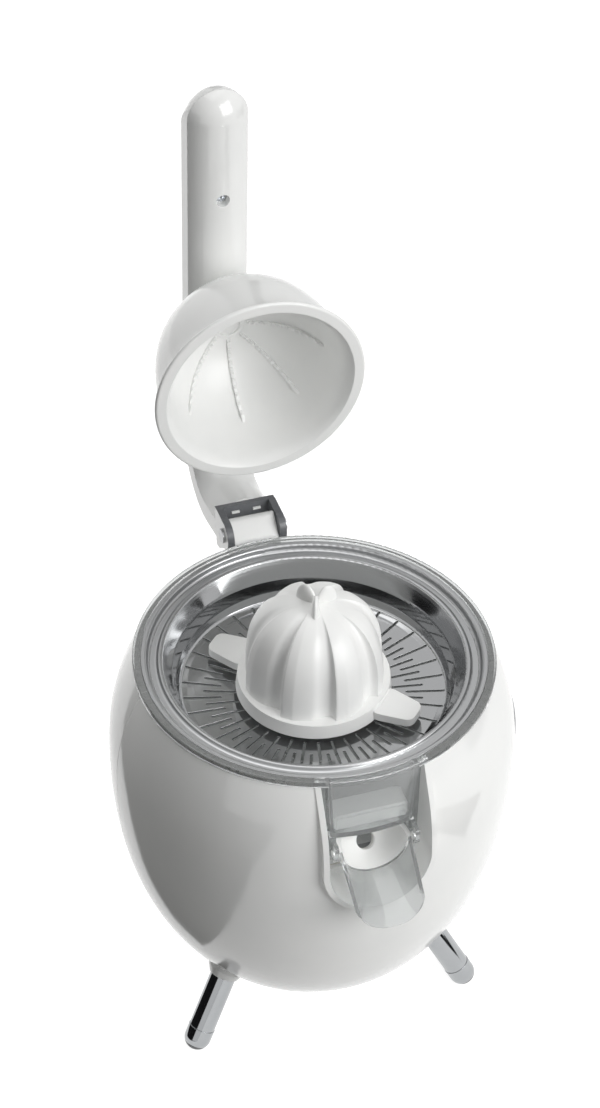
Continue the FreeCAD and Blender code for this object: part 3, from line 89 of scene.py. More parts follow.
mouldedWhites = {
    # injection-moulded ABS from a polished mould: bright white, a clear gloss with faint orange peel
    "white_gloss": {"name": "moulded_white_abs", "colours": ("EFEFED", "E6E7E6"), "ior": 1.53,
                    "rough": (0.085, 0.15), "cloudMm": 38, "cloudDetail": 3.0,
                    "grainMm": 2.4, "grainDetail": 1.0, "depthMm": 0.006, "edgeMm": 0.35},
    # polypropylene from a blasted mould: the same white with a soft satin sheen and a fine grain
    "white_satin": {"name": "blasted_white_polypropylene", "colours": ("F1F1EF", "E9EAE9"), "ior": 1.49,
                    "rough": (0.3, 0.42), "cloudMm": 22, "cloudDetail": 4.0,
                    "grainMm": 0.8, "grainDetail": 2.0, "depthMm": 0.012, "edgeMm": 0.4},
}


# a two-tone surface: roughness drifts with the tone, and a fine relief lies over softened edges
def closeMaterial(tree, tone, relief, look, settings):
    colour = addNode(tree, "ShaderNodeMix", {"data_type": "RGBA", 6: linear(look["colours"][0]),
                     7: linear(look["colours"][1])}, {0: tone}).outputs[2]
    rough = addNode(tree, "ShaderNodeMapRange", {"From Min": 0.3, "From Max": 0.7, "To Min": look["rough"][0],
                    "To Max": look["rough"][1]}, {"Value": tone}).outputs["Result"]
    edge = addNode(tree, "ShaderNodeBevel", {"samples": 4, "Radius": look["edgeMm"] * mm}).outputs["Normal"]
    bump = addNode(tree, "ShaderNodeBump", {"Strength": 0.5, "Distance": look["depthMm"] * mm},
                   {"Height": relief, "Normal": edge}).outputs["Normal"]
    shader = addNode(tree, "ShaderNodeBsdfPrincipled", settings,
                     {"Base Color": colour, "Roughness": rough, "Normal": bump}).outputs["BSDF"]
    addNode(tree, "ShaderNodeOutputMaterial", links={"Surface": shader})


def makeMouldedWhite(look):
    material, tree = emptyMaterial(look["name"])
    place = addNode(tree, "ShaderNodeTexCoord").outputs["Object"]
    cloud, grain = (addNode(tree, "ShaderNodeTexNoise", {
        "Scale": 1 / (look[kind + "Mm"] * mm), "Detail": look[kind + "Detail"]},
        {"Vector": place}).outputs["Fac"] for kind in ("cloud", "grain"))
    closeMaterial(tree, cloud, grain, look, {"IOR": look["ior"]})
    return material


# clear styrene plastic from a polished mould: glassy, with slow flow ripples that bend what lies behind it
clearSan = {"colour": "DFE1E1", "rough": (0.01, 0.05), "flowMm": 16, "flowDepthMm": 0.03,
            "transmission": 0.86, "ior": 1.5}


def makeClearSan():
    look = clearSan
    material, tree = emptyMaterial("clear_styrene_plastic")
    place = addNode(tree, "ShaderNodeTexCoord").outputs["Object"]
    flow = addNode(tree, "ShaderNodeTexNoise", {"Scale": 1 / (look["flowMm"] * mm), "Detail": 2.0},
                   {"Vector": place}).outputs["Fac"]
    rough = addNode(tree, "ShaderNodeMapRange", {"From Min": 0.3, "From Max": 0.7, "To Min": look["rough"][0],
                    "To Max": look["rough"][1]}, {"Value": flow}).outputs["Result"]
    bump = addNode(tree, "ShaderNodeBump", {"Strength": 0.4, "Distance": look["flowDepthMm"] * mm},
                   {"Height": flow}).outputs["Normal"]
    shader = addNode(tree, "ShaderNodeBsdfPrincipled",
                     {"Base Color": linear(look["colour"]), "IOR": look["ior"],
                      "Transmission Weight": look["transmission"]},
                     {"Roughness": rough, "Normal": bump}).outputs["BSDF"]
    addNode(tree, "ShaderNodeOutputMaterial", links={"Surface": shader})
    return material


# stainless sheet spun to shape: a polished dish with fine rings round its axis, and a satin lip
spunStainless = {"colour": "A4A5A6", "ringMm": 0.9, "depthMm": 0.003, "rough": (0.06, 0.13),
                 "lipFromMm": 71.0, "lipToMm": 74.5, "lipRough": 0.2, "edgeMm": 0.3}


def makeSpunStainless():
    look = spunStainless
    material, tree = emptyMaterial("spun_stainless_steel")
    place = addNode(tree, "ShaderNodeTexCoord").outputs["Object"]
    axes = addNode(tree, "ShaderNodeSeparateXYZ", links={"Vector": place}).outputs
    flat = addNode(tree, "ShaderNodeCombineXYZ", links={"X": axes["X"], "Y": axes["Y"]}).outputs["Vector"]
    radius = addNode(tree, "ShaderNodeVectorMath", {"operation": "LENGTH"}, {0: flat}).outputs["Value"]
    section = addNode(tree, "ShaderNodeCombineXYZ", links={"X": radius, "Z": axes["Z"]}).outputs["Vector"]
    rings = addNode(tree, "ShaderNodeTexNoise", {"Scale": 1 / (look["ringMm"] * mm), "Detail": 2.0},
                    {"Vector": section}).outputs["Fac"]
    satin = addNode(tree, "ShaderNodeMapRange", {
        "From Min": look["lipFromMm"] * mm, "From Max": look["lipToMm"] * mm, "To Max": look["lipRough"]},
        {"Value": radius}).outputs["Result"]
    rough = addNode(tree, "ShaderNodeMapRange", {"From Min": 0.3, "From Max": 0.7, "To Min": look["rough"][0],
                    "To Max": look["rough"][1]}, {"Value": rings}).outputs["Result"]
    rough = addNode(tree, "ShaderNodeMath", {"operation": "ADD"}, {0: rough, 1: satin}).outputs[0]
    edge = addNode(tree, "ShaderNodeBevel", {"samples": 4, "Radius": look["edgeMm"] * mm}).outputs["Normal"]
    bump = addNode(tree, "ShaderNodeBump", {"Strength": 0.3, "Distance": look["depthMm"] * mm},
                   {"Height": rings, "Normal": edge}).outputs["Normal"]
    shader = addNode(tree, "ShaderNodeBsdfPrincipled",
                     {"Base Color": linear(look["colour"]), "Metallic": 1.0},
                     {"Roughness": rough, "Normal": bump}).outputs["BSDF"]
    addNode(tree, "ShaderNodeOutputMaterial", links={"Surface": shader})
    return material


# metals and plastics whose only pattern is a fine grain: colour pair, metallic, roughness pair, grain
plainFinishes = {
    # bright chrome over turned steel: a hard mirror, barely hazed
    "chrome": {"name": "chrome_plated_steel", "colours": ("A9ABAD", "A0A2A4"), "metallic": 1.0,
               "rough": (0.03, 0.08), "grainMm": 9, "depthMm": 0.004, "edgeMm": 0.3},
    # moulded rubber: matt mid grey with a dusty grain
    "grey_rubber": {"name": "moulded_grey_rubber", "colours": ("8B8C8D", "7A7B7C"), "metallic": 0.0,
                    "rough": (0.5, 0.68), "grainMm": 1.1, "depthMm": 0.03, "edgeMm": 0.4},
    # glass-filled nylon: dark grey, half matt, with a flecked skin
    "dark_grey_plastic": {"name": "glass_filled_grey_nylon", "colours": ("66686B", "5B5D60"), "metallic": 0.0,
                          "rough": (0.28, 0.42), "grainMm": 1.4, "depthMm": 0.02, "edgeMm": 0.35},
    # moulded ABS in light grey with a fine spark texture
    "light_grey_plastic": {"name": "textured_light_grey_abs", "colours": ("C9CBCC", "BEC0C1"),
                           "metallic": 0.0, "rough": (0.3, 0.45), "grainMm": 0.9, "depthMm": 0.02,
                           "edgeMm": 0.3},
    # zinc-plated steel: bluish bright metal with a slight bloom
    "zinc_steel": {"name": "zinc_plated_steel", "colours": ("CDD0D3", "B9BDC2"), "metallic": 1.0,
                   "rough": (0.18, 0.34), "grainMm": 2.2, "depthMm": 0.008, "edgeMm": 0.15},
    # drawn steel of the motor: grey metal with a drawn haze
    "motor_steel": {"name": "drawn_motor_steel", "colours": ("B4B6B8", "A2A5A8"), "metallic": 1.0,
                    "rough": (0.3, 0.45), "grainMm": 3.0, "depthMm": 0.01, "edgeMm": 0.25},
    # sintered ferrite: near-black ceramic with a sooty bloom
    "magnet": {"name": "sintered_ferrite", "colours": ("3A3937", "2C2B2A"), "metallic": 0.0,
               "rough": (0.5, 0.7), "grainMm": 0.8, "depthMm": 0.03, "edgeMm": 0.3},
    # acetal gear stock: waxy off-white
    "acetal": {"name": "moulded_acetal", "colours": ("EDEBE3", "E2E0D7"), "metallic": 0.0,
               "rough": (0.28, 0.4), "grainMm": 1.2, "depthMm": 0.01, "edgeMm": 0.15},
    # black switch plastic: satin with a fine grain
    "black_plastic": {"name": "satin_black_nylon", "colours": ("232325", "1B1B1D"), "metallic": 0.0,
                      "rough": (0.35, 0.5), "grainMm": 0.9, "depthMm": 0.02, "edgeMm": 0.25},
    # silicone seals: milky, soft and matt
    "soft_rubber": {"name": "milky_silicone", "colours": ("D8D8D4", "CBCBC7"), "metallic": 0.0,
                    "rough": (0.45, 0.6), "grainMm": 1.6, "depthMm": 0.02, "edgeMm": 0.3},
}


def makePlain(look):
    material, tree = emptyMaterial(look["name"])
    place = addNode(tree, "ShaderNodeTexCoord").outputs["Object"]
    grain = addNode(tree, "ShaderNodeTexNoise", {"Scale": 1 / (look["grainMm"] * mm), "Detail": 3.0},
                    {"Vector": place}).outputs["Fac"]
    closeMaterial(tree, grain, grain, look, {"Metallic": look["metallic"]})
    return material


finishes = {slot: makePlain(look) for slot, look in plainFinishes.items()}
finishes.update({slot: makeMouldedWhite(look) for slot, look in mouldedWhites.items()})
finishes["clear_plastic"] = makeClearSan()
finishes["polished_steel"] = makeSpunStainless()

for name, piece in nodes.items():
    piece.data.materials.clear()
    piece.data.materials.append(finishes[slotOf[name]])
print("finishes on", len(nodes), "pieces")


# a node tree for a modifier, with one named input for each size
def newTree(name, inputs):
    tree = bpy.data.node_groups.new(name, "GeometryNodeTree")
    for label, kind in inputs.items():
        tree.interface.new_socket(label, in_out="INPUT", socket_type="NodeSocket" + kind)
    tree.interface.new_socket("Geometry", in_out="OUTPUT", socket_type="NodeSocketGeometry")
    return tree, addNode(tree, "NodeGroupInput").outputs


# instances made real, given their finish and handed out of the tree
def closeTree(tree, shape, finish):
    real = addNode(tree, "GeometryNodeRealizeInstances", links={"Geometry": shape}).outputs[0]
    done = addNode(tree, "GeometryNodeSetMaterial", links={"Geometry": real, "Material": finish}).outputs[0]
    addNode(tree, "NodeGroupOutput", links={"Geometry": done})


# the tree's result as a plain mesh on an object of its own
def bakeTree(name, tree, seed, sizes):
    holder = bpy.data.objects.new(name + "_seed", seed)
    bpy.context.scene.collection.objects.link(holder)
    modifier = holder.modifiers.new("nodes", "NODES")
    modifier.node_group = tree
    for item in tree.interface.items_tree:
        if item.in_out == "INPUT" and item.name in sizes:
            modifier[item.identifier] = sizes[item.name]
    seen = holder.evaluated_get(bpy.context.evaluated_depsgraph_get())
    piece = bpy.data.objects.new(name, bpy.data.meshes.new_from_object(seen))
    bpy.data.objects.remove(holder)
    bpy.context.scene.collection.objects.link(piece)
    return piece


# low domed screws with a cross pressed into the head, in place of the frame's plain ones
screws = {"nodes": ["arm_screws", "base_screws", "hinge_screws", "leg_screws", "deck_screws", "motor_screws"],
          "crossShare": 1.25, "crossWidthMm": 0.8, "crossDepthMm": 1.3,
          "wideShare": 0.95, "neckMm": 0.5}


def makeScrewTree():
    tree, given = newTree("cross_head_screws", {
        "Geometry": "Geometry", "Head Radius": "Float", "Head Height": "Float", "Shank Radius": "Float",
        "Shank Length": "Float", "Cross Length": "Float", "Cross Width": "Float", "Cross Depth": "Float",
        "Finish": "Material"})
    ball = addNode(tree, "GeometryNodeMeshUVSphere", {"Segments": 32, "Rings": 16},
                   {"Radius": given["Head Radius"]}).outputs["Mesh"]
    here = addNode(tree, "GeometryNodeInputPosition").outputs[0]
    axes = addNode(tree, "ShaderNodeSeparateXYZ", links={0: here}).outputs
    above = addNode(tree, "ShaderNodeMath", {"operation": "MAXIMUM", 1: 0.0}, {0: axes["Z"]}).outputs[0]
    share = addNode(tree, "ShaderNodeMath", {"operation": "DIVIDE"},
                    {0: given["Head Height"], 1: given["Head Radius"]}).outputs[0]
    low = addNode(tree, "ShaderNodeMath", {"operation": "MULTIPLY"}, {0: above, 1: share}).outputs[0]
    place = addNode(tree, "ShaderNodeCombineXYZ", links={"X": axes["X"], "Y": axes["Y"], "Z": low}).outputs[0]
    head = addNode(tree, "GeometryNodeSetPosition", links={"Geometry": ball, "Position": place}).outputs[0]
    top = addNode(tree, "ShaderNodeCombineXYZ", links={"Z": given["Head Height"]}).outputs[0]
    for along, across in (("X", "Y"), ("Y", "X")):
        size = addNode(tree, "ShaderNodeCombineXYZ", links={
            along: given["Cross Length"], across: given["Cross Width"], "Z": given["Cross Depth"]}).outputs[0]
        bar = addNode(tree, "GeometryNodeMeshCube", links={"Size": size}).outputs["Mesh"]
        bar = addNode(tree, "GeometryNodeTransform", links={"Geometry": bar, "Translation": top}).outputs[0]
        head = addNode(tree, "GeometryNodeMeshBoolean", {"operation": "DIFFERENCE"},
                       {"Mesh 1": head, "Mesh 2": bar}).outputs["Mesh"]
    shank = addNode(tree, "GeometryNodeMeshCylinder", {"Vertices": 24},
                    {"Radius": given["Shank Radius"], "Depth": given["Shank Length"]}).outputs["Mesh"]
    half = addNode(tree, "ShaderNodeMath", {"operation": "MULTIPLY", 1: -0.5},
                   {0: given["Shank Length"]}).outputs[0]
    drop = addNode(tree, "ShaderNodeCombineXYZ", links={"Z": half}).outputs[0]
    shank = addNode(tree, "GeometryNodeTransform", links={"Geometry": shank, "Translation": drop}).outputs[0]
    screw = addNode(tree, "GeometryNodeJoinGeometry", links={0: head})
    tree.links.new(shank, screw.inputs[0])
    aim = addNode(tree, "GeometryNodeInputNamedAttribute",
                  {"data_type": "FLOAT_VECTOR", "Name": "aim"}).outputs[0]
    turn = addNode(tree, "FunctionNodeAlignRotationToVector", {"axis": "Z"}, {"Vector": aim}).outputs[0]
    placed = addNode(tree, "GeometryNodeInstanceOnPoints", links={
        "Points": given["Geometry"], "Instance": screw.outputs[0], "Rotation": turn}).outputs[0]
    closeTree(tree, placed, given["Finish"])
    return tree


# a node's mesh as a merged working copy
def mergedCopy(name):
    work = bmesh.new()
    work.from_mesh(nodes[name].data)
    work.transform(nodes[name].matrix_world)
    bmesh.ops.remove_doubles(work, verts=work.verts, dist=weld)
    return work


edgeTurn = 35  # degrees between faces past which an edge stays sharp


# a working copy made into the piece that stands for its node, smooth between its real edges
def standIn(name, work, ending, slots):
    for face in work.faces:
        face.smooth = True
    mesh = bpy.data.meshes.new(name + ending)
    work.to_mesh(mesh)
    work.free()
    mesh.attributes.remove(mesh.attributes["custom_normal"])  # they belonged to the loose triangles
    for slot in slots:
        mesh.materials.append(finishes[slot])
    mesh.set_sharp_from_angle(angle=math.radians(edgeTurn))
    piece = bpy.data.objects.new(name + ending, mesh)
    bpy.context.scene.collection.objects.link(piece)
    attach(piece, bodyOf[name])
    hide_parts(name)
    return piece


# the solids of a node, each as an array of its vertices
def islands(name):
    work = mergedCopy(name)
    left = dict.fromkeys(work.verts)  # in order, so that each run finds the same
    found = []
    while left:
        stack = [left.popitem()[0]]
        group = []
        while stack:
            vert = stack.pop()
            group.append(vert.co[:])
            for edge in vert.link_edges:
                other = edge.other_vert(vert)
                if other in left:
                    del left[other]
                    stack.append(other)
        found.append(np.array(group))
    work.free()
    return found


# seats and outward directions of a node's screws, and their sizes: the head is the widest disc
def readScrews(name):
    seats, aims, sizes = [], [], {}
    for cloud in islands(name):
        middle = cloud.mean(axis=0)
        axis = np.linalg.eigh(np.cov((cloud - middle).T))[1][:, 2]
        along = (cloud - middle) @ axis
        reach = np.linalg.norm(cloud - middle - np.outer(along, axis), axis=1)
        wide = reach > reach.max() * screws["wideShare"]
        if along[wide].mean() < 0:
            axis, along = -axis, -along
        seat = along[wide].min()
        seats.append(middle + axis * seat)
        aims += list(axis)
        neck = seat - screws["neckMm"] * mm
        sizes = {"Head Radius": reach.max(), "Head Height": along[wide].max() - seat,
                 "Shank Radius": reach[along < neck].max(), "Shank Length": seat - along.min()}
    return seats, aims, {label: float(size) for label, size in sizes.items()}


def driveScrews():
    tree = makeScrewTree()
    for name in screws["nodes"]:
        seats, aims, sizes = readScrews(name)
        seed = bpy.data.meshes.new(name + "_seats")
        seed.from_pydata(seats, [], [])
        seed.attributes.new("aim", "FLOAT_VECTOR", "POINT").data.foreach_set("vector", aims)
        sizes.update({"Cross Length": sizes["Head Radius"] * screws["crossShare"],
                      "Cross Width": screws["crossWidthMm"] * mm, "Cross Depth": screws["crossDepthMm"] * mm,
                      "Finish": finishes[slotOf[name]]})
        piece = bakeTree(name + "_crossed", tree, seed, sizes)
        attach(piece, bodyOf[name])
        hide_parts(name)


driveScrews()
print("screws driven,", len(screws["nodes"]), "sets")


# the cone: a domed barrel whose ribs have a flat land, a hollow flute and one steep side, with lobes on top
reamer = {"baseMm": 195.4, "skirtRadiusMm": 38.0, "skirtDraftMm": 0.8, "skirtMm": 7.4, "domeRadiusMm": 34.8,
          "domeMm": 46.0, "power": 2.7, "ribs": 8, "ribTurn": -1.0, "landShare": 0.22, "steepShare": 0.12,
          "fluteMm": 3.8, "lobes": 3, "lobeTurn": 8.0, "lobeOutMm": 5.6, "lobeSizeMm": (5.6, 2.1, 10.0),
          "wings": 2, "wingTurn": -135.0, "wingFromMm": 34.0, "wingToMm": 55.5, "wingRootMm": 21.0,
          "wingTipMm": 13.0, "wingRiseMm": 1.0, "wingThickMm": 4.4, "wingRoundMm": 4.5,
          "lobeSinkMm": 1.4, "fluteHalf": 0.42, "edgeTurn": 38}


def makeReamerTree():
    tree, given = newTree("ribbed_reamer", {
        "Geometry": "Geometry", "Base": "Float", "Skirt Radius": "Float", "Skirt Draft": "Float",
        "Skirt Height": "Float", "Dome Radius": "Float", "Dome Height": "Float", "Dome Power": "Float",
        "Ribs": "Int", "Rib Turn": "Float", "Flute Depth": "Float", "Lobes": "Int", "Lobe Turn": "Float",
        "Lobe Size": "Vector", "Lobe Place": "Vector", "Wings": "Int", "Wing Turn": "Float",
        "Wing Length": "Float", "Wing Root": "Float", "Wing Tip": "Float", "Wing Round": "Float",
        "Wing Thickness": "Float", "Wing Place": "Vector", "Finish": "Material"})
    barrel = addNode(tree, "GeometryNodeMeshCylinder", {
        "fill_type": "NONE", "Vertices": 320, "Side Segments": 40, "Radius": 1.0,
        "Depth": 1.0}).outputs["Mesh"]
    here = addNode(tree, "GeometryNodeInputPosition").outputs[0]
    axes = addNode(tree, "ShaderNodeSeparateXYZ", links={0: here}).outputs
    turn = addNode(tree, "ShaderNodeMath", {"operation": "ARCTAN2"}, {0: axes["Y"], 1: axes["X"]}).outputs[0]
    # where each point lies between one rib and the next, and how deep the flute is there
    start = addNode(tree, "ShaderNodeMath", {"operation": "SUBTRACT"},
                    {0: turn, 1: given["Rib Turn"]}).outputs[0]
    beats = addNode(tree, "ShaderNodeMath", {"operation": "DIVIDE", 1: math.tau},
                    {0: given["Ribs"]}).outputs[0]
    beat = addNode(tree, "ShaderNodeMath", {"operation": "MULTIPLY"}, {0: start, 1: beats}).outputs[0]
    beat = addNode(tree, "ShaderNodeMath", {"operation": "FRACT"}, {0: beat}).outputs[0]
    ridge = addNode(tree, "ShaderNodeFloatCurve", links={"Value": beat})
    line = ridge.mapping.curves[0].points
    land, foot = reamer["landShare"], 1 - reamer["steepShare"]
    line[0].location, line[1].location = (0, 0), (1, 0)
    for spot, level in ((land, 0.0), ((land + foot) / 2, reamer["fluteHalf"]), (foot, 1.0)):
        line.new(spot, level)
    for point in line:
        point.handle_type = "AUTO" if land < point.location.x < foot else "VECTOR"
    ridge.mapping.update()
    depth = addNode(tree, "ShaderNodeMath", {"operation": "DIVIDE"},
                    {0: given["Flute Depth"], 1: given["Dome Radius"]}).outputs[0]
    hollow = addNode(tree, "ShaderNodeMath", {"operation": "MULTIPLY"},
                     {0: ridge.outputs["Value"], 1: depth}).outputs[0]
    swell = addNode(tree, "ShaderNodeMath", {"operation": "SUBTRACT", 0: 1.0}, {1: hollow}).outputs[0]
    # the dome's curve from its foot to its pole
    lift = addNode(tree, "ShaderNodeMath", {"operation": "MULTIPLY_ADD", 1: math.pi / 2, 2: math.pi / 4},
                   {0: axes["Z"]}).outputs[0]
    power = addNode(tree, "ShaderNodeMath", {"operation": "DIVIDE", 0: 2.0},
                    {1: given["Dome Power"]}).outputs[0]
    sine = addNode(tree, "ShaderNodeMath", {"operation": "SINE", "use_clamp": True}, {0: lift}).outputs[0]
    cosine = addNode(tree, "ShaderNodeMath", {"operation": "COSINE", "use_clamp": True}, {0: lift}).outputs[0]
    up = addNode(tree, "ShaderNodeMath", {"operation": "POWER"}, {0: sine, 1: power}).outputs[0]
    out = addNode(tree, "ShaderNodeMath", {"operation": "POWER"}, {0: cosine, 1: power}).outputs[0]
    reach = addNode(tree, "ShaderNodeMath", {"operation": "MULTIPLY"},
                    {0: out, 1: given["Dome Radius"]}).outputs[0]
    reach = addNode(tree, "ShaderNodeMath", {"operation": "MULTIPLY"}, {0: reach, 1: swell}).outputs[0]
    floor = addNode(tree, "ShaderNodeMath", {"operation": "ADD"},
                    {0: given["Base"], 1: given["Skirt Height"]}).outputs[0]
    height = addNode(tree, "ShaderNodeMath", {"operation": "MULTIPLY_ADD"},
                     {0: up, 1: given["Dome Height"], 2: floor}).outputs[0]
    profile = addNode(tree, "ShaderNodeCombineXYZ", links={"X": reach, "Z": height}).outputs[0]
    swung = addNode(tree, "ShaderNodeVectorRotate", {"rotation_type": "Z_AXIS"},
                    {"Vector": profile, "Angle": turn}).outputs[0]
    dome = addNode(tree, "GeometryNodeSetPosition", links={"Geometry": barrel, "Position": swung}).outputs[0]
    dome = addNode(tree, "GeometryNodeMergeByDistance", {"Distance": weld}, {"Geometry": dome}).outputs[0]
    top = addNode(tree, "ShaderNodeMath", {"operation": "SUBTRACT"},
                  {0: given["Skirt Radius"], 1: given["Skirt Draft"]}).outputs[0]
    skirt = addNode(tree, "GeometryNodeMeshCone", {"Vertices": 160}, {
        "Radius Top": top, "Radius Bottom": given["Skirt Radius"],
        "Depth": given["Skirt Height"]}).outputs["Mesh"]
    base = addNode(tree, "ShaderNodeCombineXYZ", links={"Z": given["Base"]}).outputs[0]
    skirt = addNode(tree, "GeometryNodeTransform", links={"Geometry": skirt, "Translation": base}).outputs[0]
    lobe = addNode(tree, "GeometryNodeMeshUVSphere",
                   {"Segments": 32, "Rings": 20, "Radius": 1.0}).outputs["Mesh"]
    lobe = addNode(tree, "GeometryNodeTransform", links={
        "Geometry": lobe, "Scale": given["Lobe Size"], "Translation": given["Lobe Place"]}).outputs[0]
    wing = addNode(tree, "GeometryNodeCurvePrimitiveQuadrilateral", {"mode": "TRAPEZOID", "Offset": 0.0}, {
        "Height": given["Wing Length"], "Bottom Width": given["Wing Root"],
        "Top Width": given["Wing Tip"]}).outputs[0]
    wing = addNode(tree, "GeometryNodeFilletCurve", {"mode": "POLY", "Count": 6},
                   {"Curve": wing, "Radius": given["Wing Round"]}).outputs[0]
    under = addNode(tree, "GeometryNodeFillCurve", {"mode": "NGONS"}, {"Curve": wing}).outputs[0]
    raised = addNode(tree, "GeometryNodeExtrudeMesh", {"Individual": False},
                     {"Mesh": under, "Offset Scale": given["Wing Thickness"]}).outputs["Mesh"]
    under = addNode(tree, "GeometryNodeFlipFaces", links={"Mesh": under}).outputs[0]
    wing = addNode(tree, "GeometryNodeJoinGeometry", links={0: raised})
    tree.links.new(under, wing.inputs[0])
    wing = addNode(tree, "GeometryNodeTransform", links={
        "Geometry": wing.outputs[0], "Translation": given["Wing Place"]}).outputs[0]
    whole = addNode(tree, "GeometryNodeJoinGeometry", links={0: dome})
    tree.links.new(skirt, whole.inputs[0])
    for shape, count, first in ((lobe, "Lobes", "Lobe Turn"), (wing, "Wings", "Wing Turn")):
        spots = addNode(tree, "GeometryNodePoints", links={"Count": given[count]}).outputs[0]
        pitch = addNode(tree, "ShaderNodeMath", {"operation": "DIVIDE", 0: math.tau},
                        {1: given[count]}).outputs[0]
        index = addNode(tree, "GeometryNodeInputIndex").outputs[0]
        angle = addNode(tree, "ShaderNodeMath", {"operation": "MULTIPLY_ADD"},
                        {0: index, 1: pitch, 2: given[first]}).outputs[0]
        angles = addNode(tree, "ShaderNodeCombineXYZ", links={"Z": angle}).outputs[0]
        spin = addNode(tree, "FunctionNodeEulerToRotation", links={0: angles}).outputs[0]
        placed = addNode(tree, "GeometryNodeInstanceOnPoints", links={
            "Points": spots, "Instance": shape, "Rotation": spin}).outputs[0]
        tree.links.new(placed, whole.inputs[0])
    closeTree(tree, whole.outputs[0], given["Finish"])
    return tree


def turnReamer():
    look = reamer
    lobeHeight = look["baseMm"] + look["skirtMm"] + look["domeMm"]
    wingMiddle = (look["wingFromMm"] + look["wingToMm"]) / 2
    sizes = {"Base": look["baseMm"] * mm, "Skirt Radius": look["skirtRadiusMm"] * mm,
             "Skirt Draft": look["skirtDraftMm"] * mm, "Skirt Height": look["skirtMm"] * mm,
             "Dome Radius": look["domeRadiusMm"] * mm, "Dome Height": look["domeMm"] * mm,
             "Dome Power": look["power"], "Ribs": look["ribs"], "Rib Turn": math.radians(look["ribTurn"]),
             "Flute Depth": look["fluteMm"] * mm,
             "Lobes": look["lobes"], "Lobe Turn": math.radians(look["lobeTurn"]),
             "Lobe Size": Vector(look["lobeSizeMm"]) * mm,
             "Lobe Place": Vector((look["lobeOutMm"], 0, lobeHeight - look["lobeSinkMm"])) * mm,
             "Wings": look["wings"], "Wing Turn": math.radians(look["wingTurn"]),
             "Wing Length": (look["wingToMm"] - look["wingFromMm"]) * mm,
             "Wing Root": look["wingRootMm"] * mm,
             "Wing Tip": look["wingTipMm"] * mm, "Wing Round": look["wingRoundMm"] * mm,
             "Wing Thickness": look["wingThickMm"] * mm,
             "Wing Place": Vector((0, wingMiddle, look["baseMm"] + look["wingRiseMm"])) * mm,
             "Finish": finishes[slotOf["reamer_cone"]]}
    piece = bakeTree("ribbed_reamer", makeReamerTree(), bpy.data.meshes.new("reamer_seed"), sizes)
    piece.data.shade_smooth()
    piece.data.set_sharp_from_angle(angle=math.radians(look["edgeTurn"]))
    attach(piece, bodyOf["reamer_cone"])
    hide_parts("reamer_cone")


turnReamer()
print("reamer turned,", reamer["ribs"], "ribs")


# the clevis is dark, with the outer faces of its cheeks in the arm's white
clevis = {"skinMm": 0.6, "facing": 0.7}


def skinClevis():
    work = mergedCopy("arm_clevis")
    reach = max(abs(vert.co.x) for vert in work.verts)
    for face in work.faces:
        near = abs(face.calc_center_median().x) > reach - clevis["skinMm"] * mm
        face.material_index = int(near and abs(face.normal.x) > clevis["facing"])
    standIn("arm_clevis", work, "_skinned", ["dark_grey_plastic", "white_gloss"])


skinClevis()
print("clevis skinned")


# each leg's chrome runs on over the foot, down to a thin rubber pad
feet = {"padMm": 3.2, "places": ["front_left", "front_right", "rear"]}


def plateFeet():
    for place in feet["places"]:
        name = "foot_" + place
        top, low = (sum((Vector(c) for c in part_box(node)), Vector()) / 2 for node in ("leg_" + place, name))
        along = (low - top).normalized()
        work = mergedCopy(name)
        end = max(vert.co.dot(along) for vert in work.verts)
        cut = along * (end - feet["padMm"] * mm)
        bmesh.ops.bisect_plane(work, geom=work.verts[:] + work.edges[:] + work.faces[:],
                               plane_co=cut, plane_no=along)
        for face in work.faces:
            face.material_index = int(face.calc_center_median().dot(along) < cut.dot(along))
        standIn(name, work, "_plated", ["grey_rubber", "chrome"])


plateFeet()
print("feet plated,", len(feet["places"]))


# the white block that fills the window's lower half, on the floor of the juice duct
block = {"widthMm": 36.4, "depthMm": 13.0, "heightMm": 9.0, "frontMm": 84.0, "floorMm": 181.8, "roundMm": 1.2}


def fillWindow():
    work = bmesh.new()
    bmesh.ops.create_cube(work, size=1.0)
    size = Vector((block["widthMm"], block["depthMm"], block["heightMm"])) * mm
    middle = Vector((0, -block["frontMm"] * mm + size.y / 2, block["floorMm"] * mm + size.z / 2))
    work.transform(Matrix.Translation(middle) @ Matrix.Diagonal((*size, 1)))
    bmesh.ops.bevel(work, geom=work.edges[:], offset=block["roundMm"] * mm, segments=3, affect="EDGES")
    mesh = bpy.data.meshes.new("window_block")
    work.to_mesh(mesh)
    work.free()
    mesh.materials.append(finishes["white_satin"])
    piece = bpy.data.objects.new("window_block", mesh)
    bpy.context.scene.collection.objects.link(piece)
    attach(piece, "base")


fillWindow()
print("window filled")


# the start spring, which stands on its seat and shortens by the plunger's stroke when the cone is pressed,
# here as a merged, smooth copy with a mesh of its own
spring = {"node": "return_spring", "seatMm": 96.0, "strokeMm": 2.5}


def seatSpring():
    name = spring["node"]
    piece = standIn(name, mergedCopy(name), "_seated", [slotOf[name]])
    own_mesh(piece)


seatSpring()
print("spring seated")


# a pale floor under one soft key lamp, a lamp overhead and a fill behind
studio = {"floorSize": 8.0, "floorColour": "B4B4B3", "floorGlow": 0.86, "ambient": 0.1,
          "keyPlace": (0.8, -1.15, 0.95), "keySize": (1.1, 1.1), "keyWatts": 21.5,
          "topPlace": (-0.1, 0.15, 1.7), "topSize": (1.4, 1.4), "topWatts": 9,
          "backPlace": (-0.5, 1.4, 0.5), "backSize": (1.4, 1.4), "backWatts": 12,
          "aim": (0, 0, 0.2)}

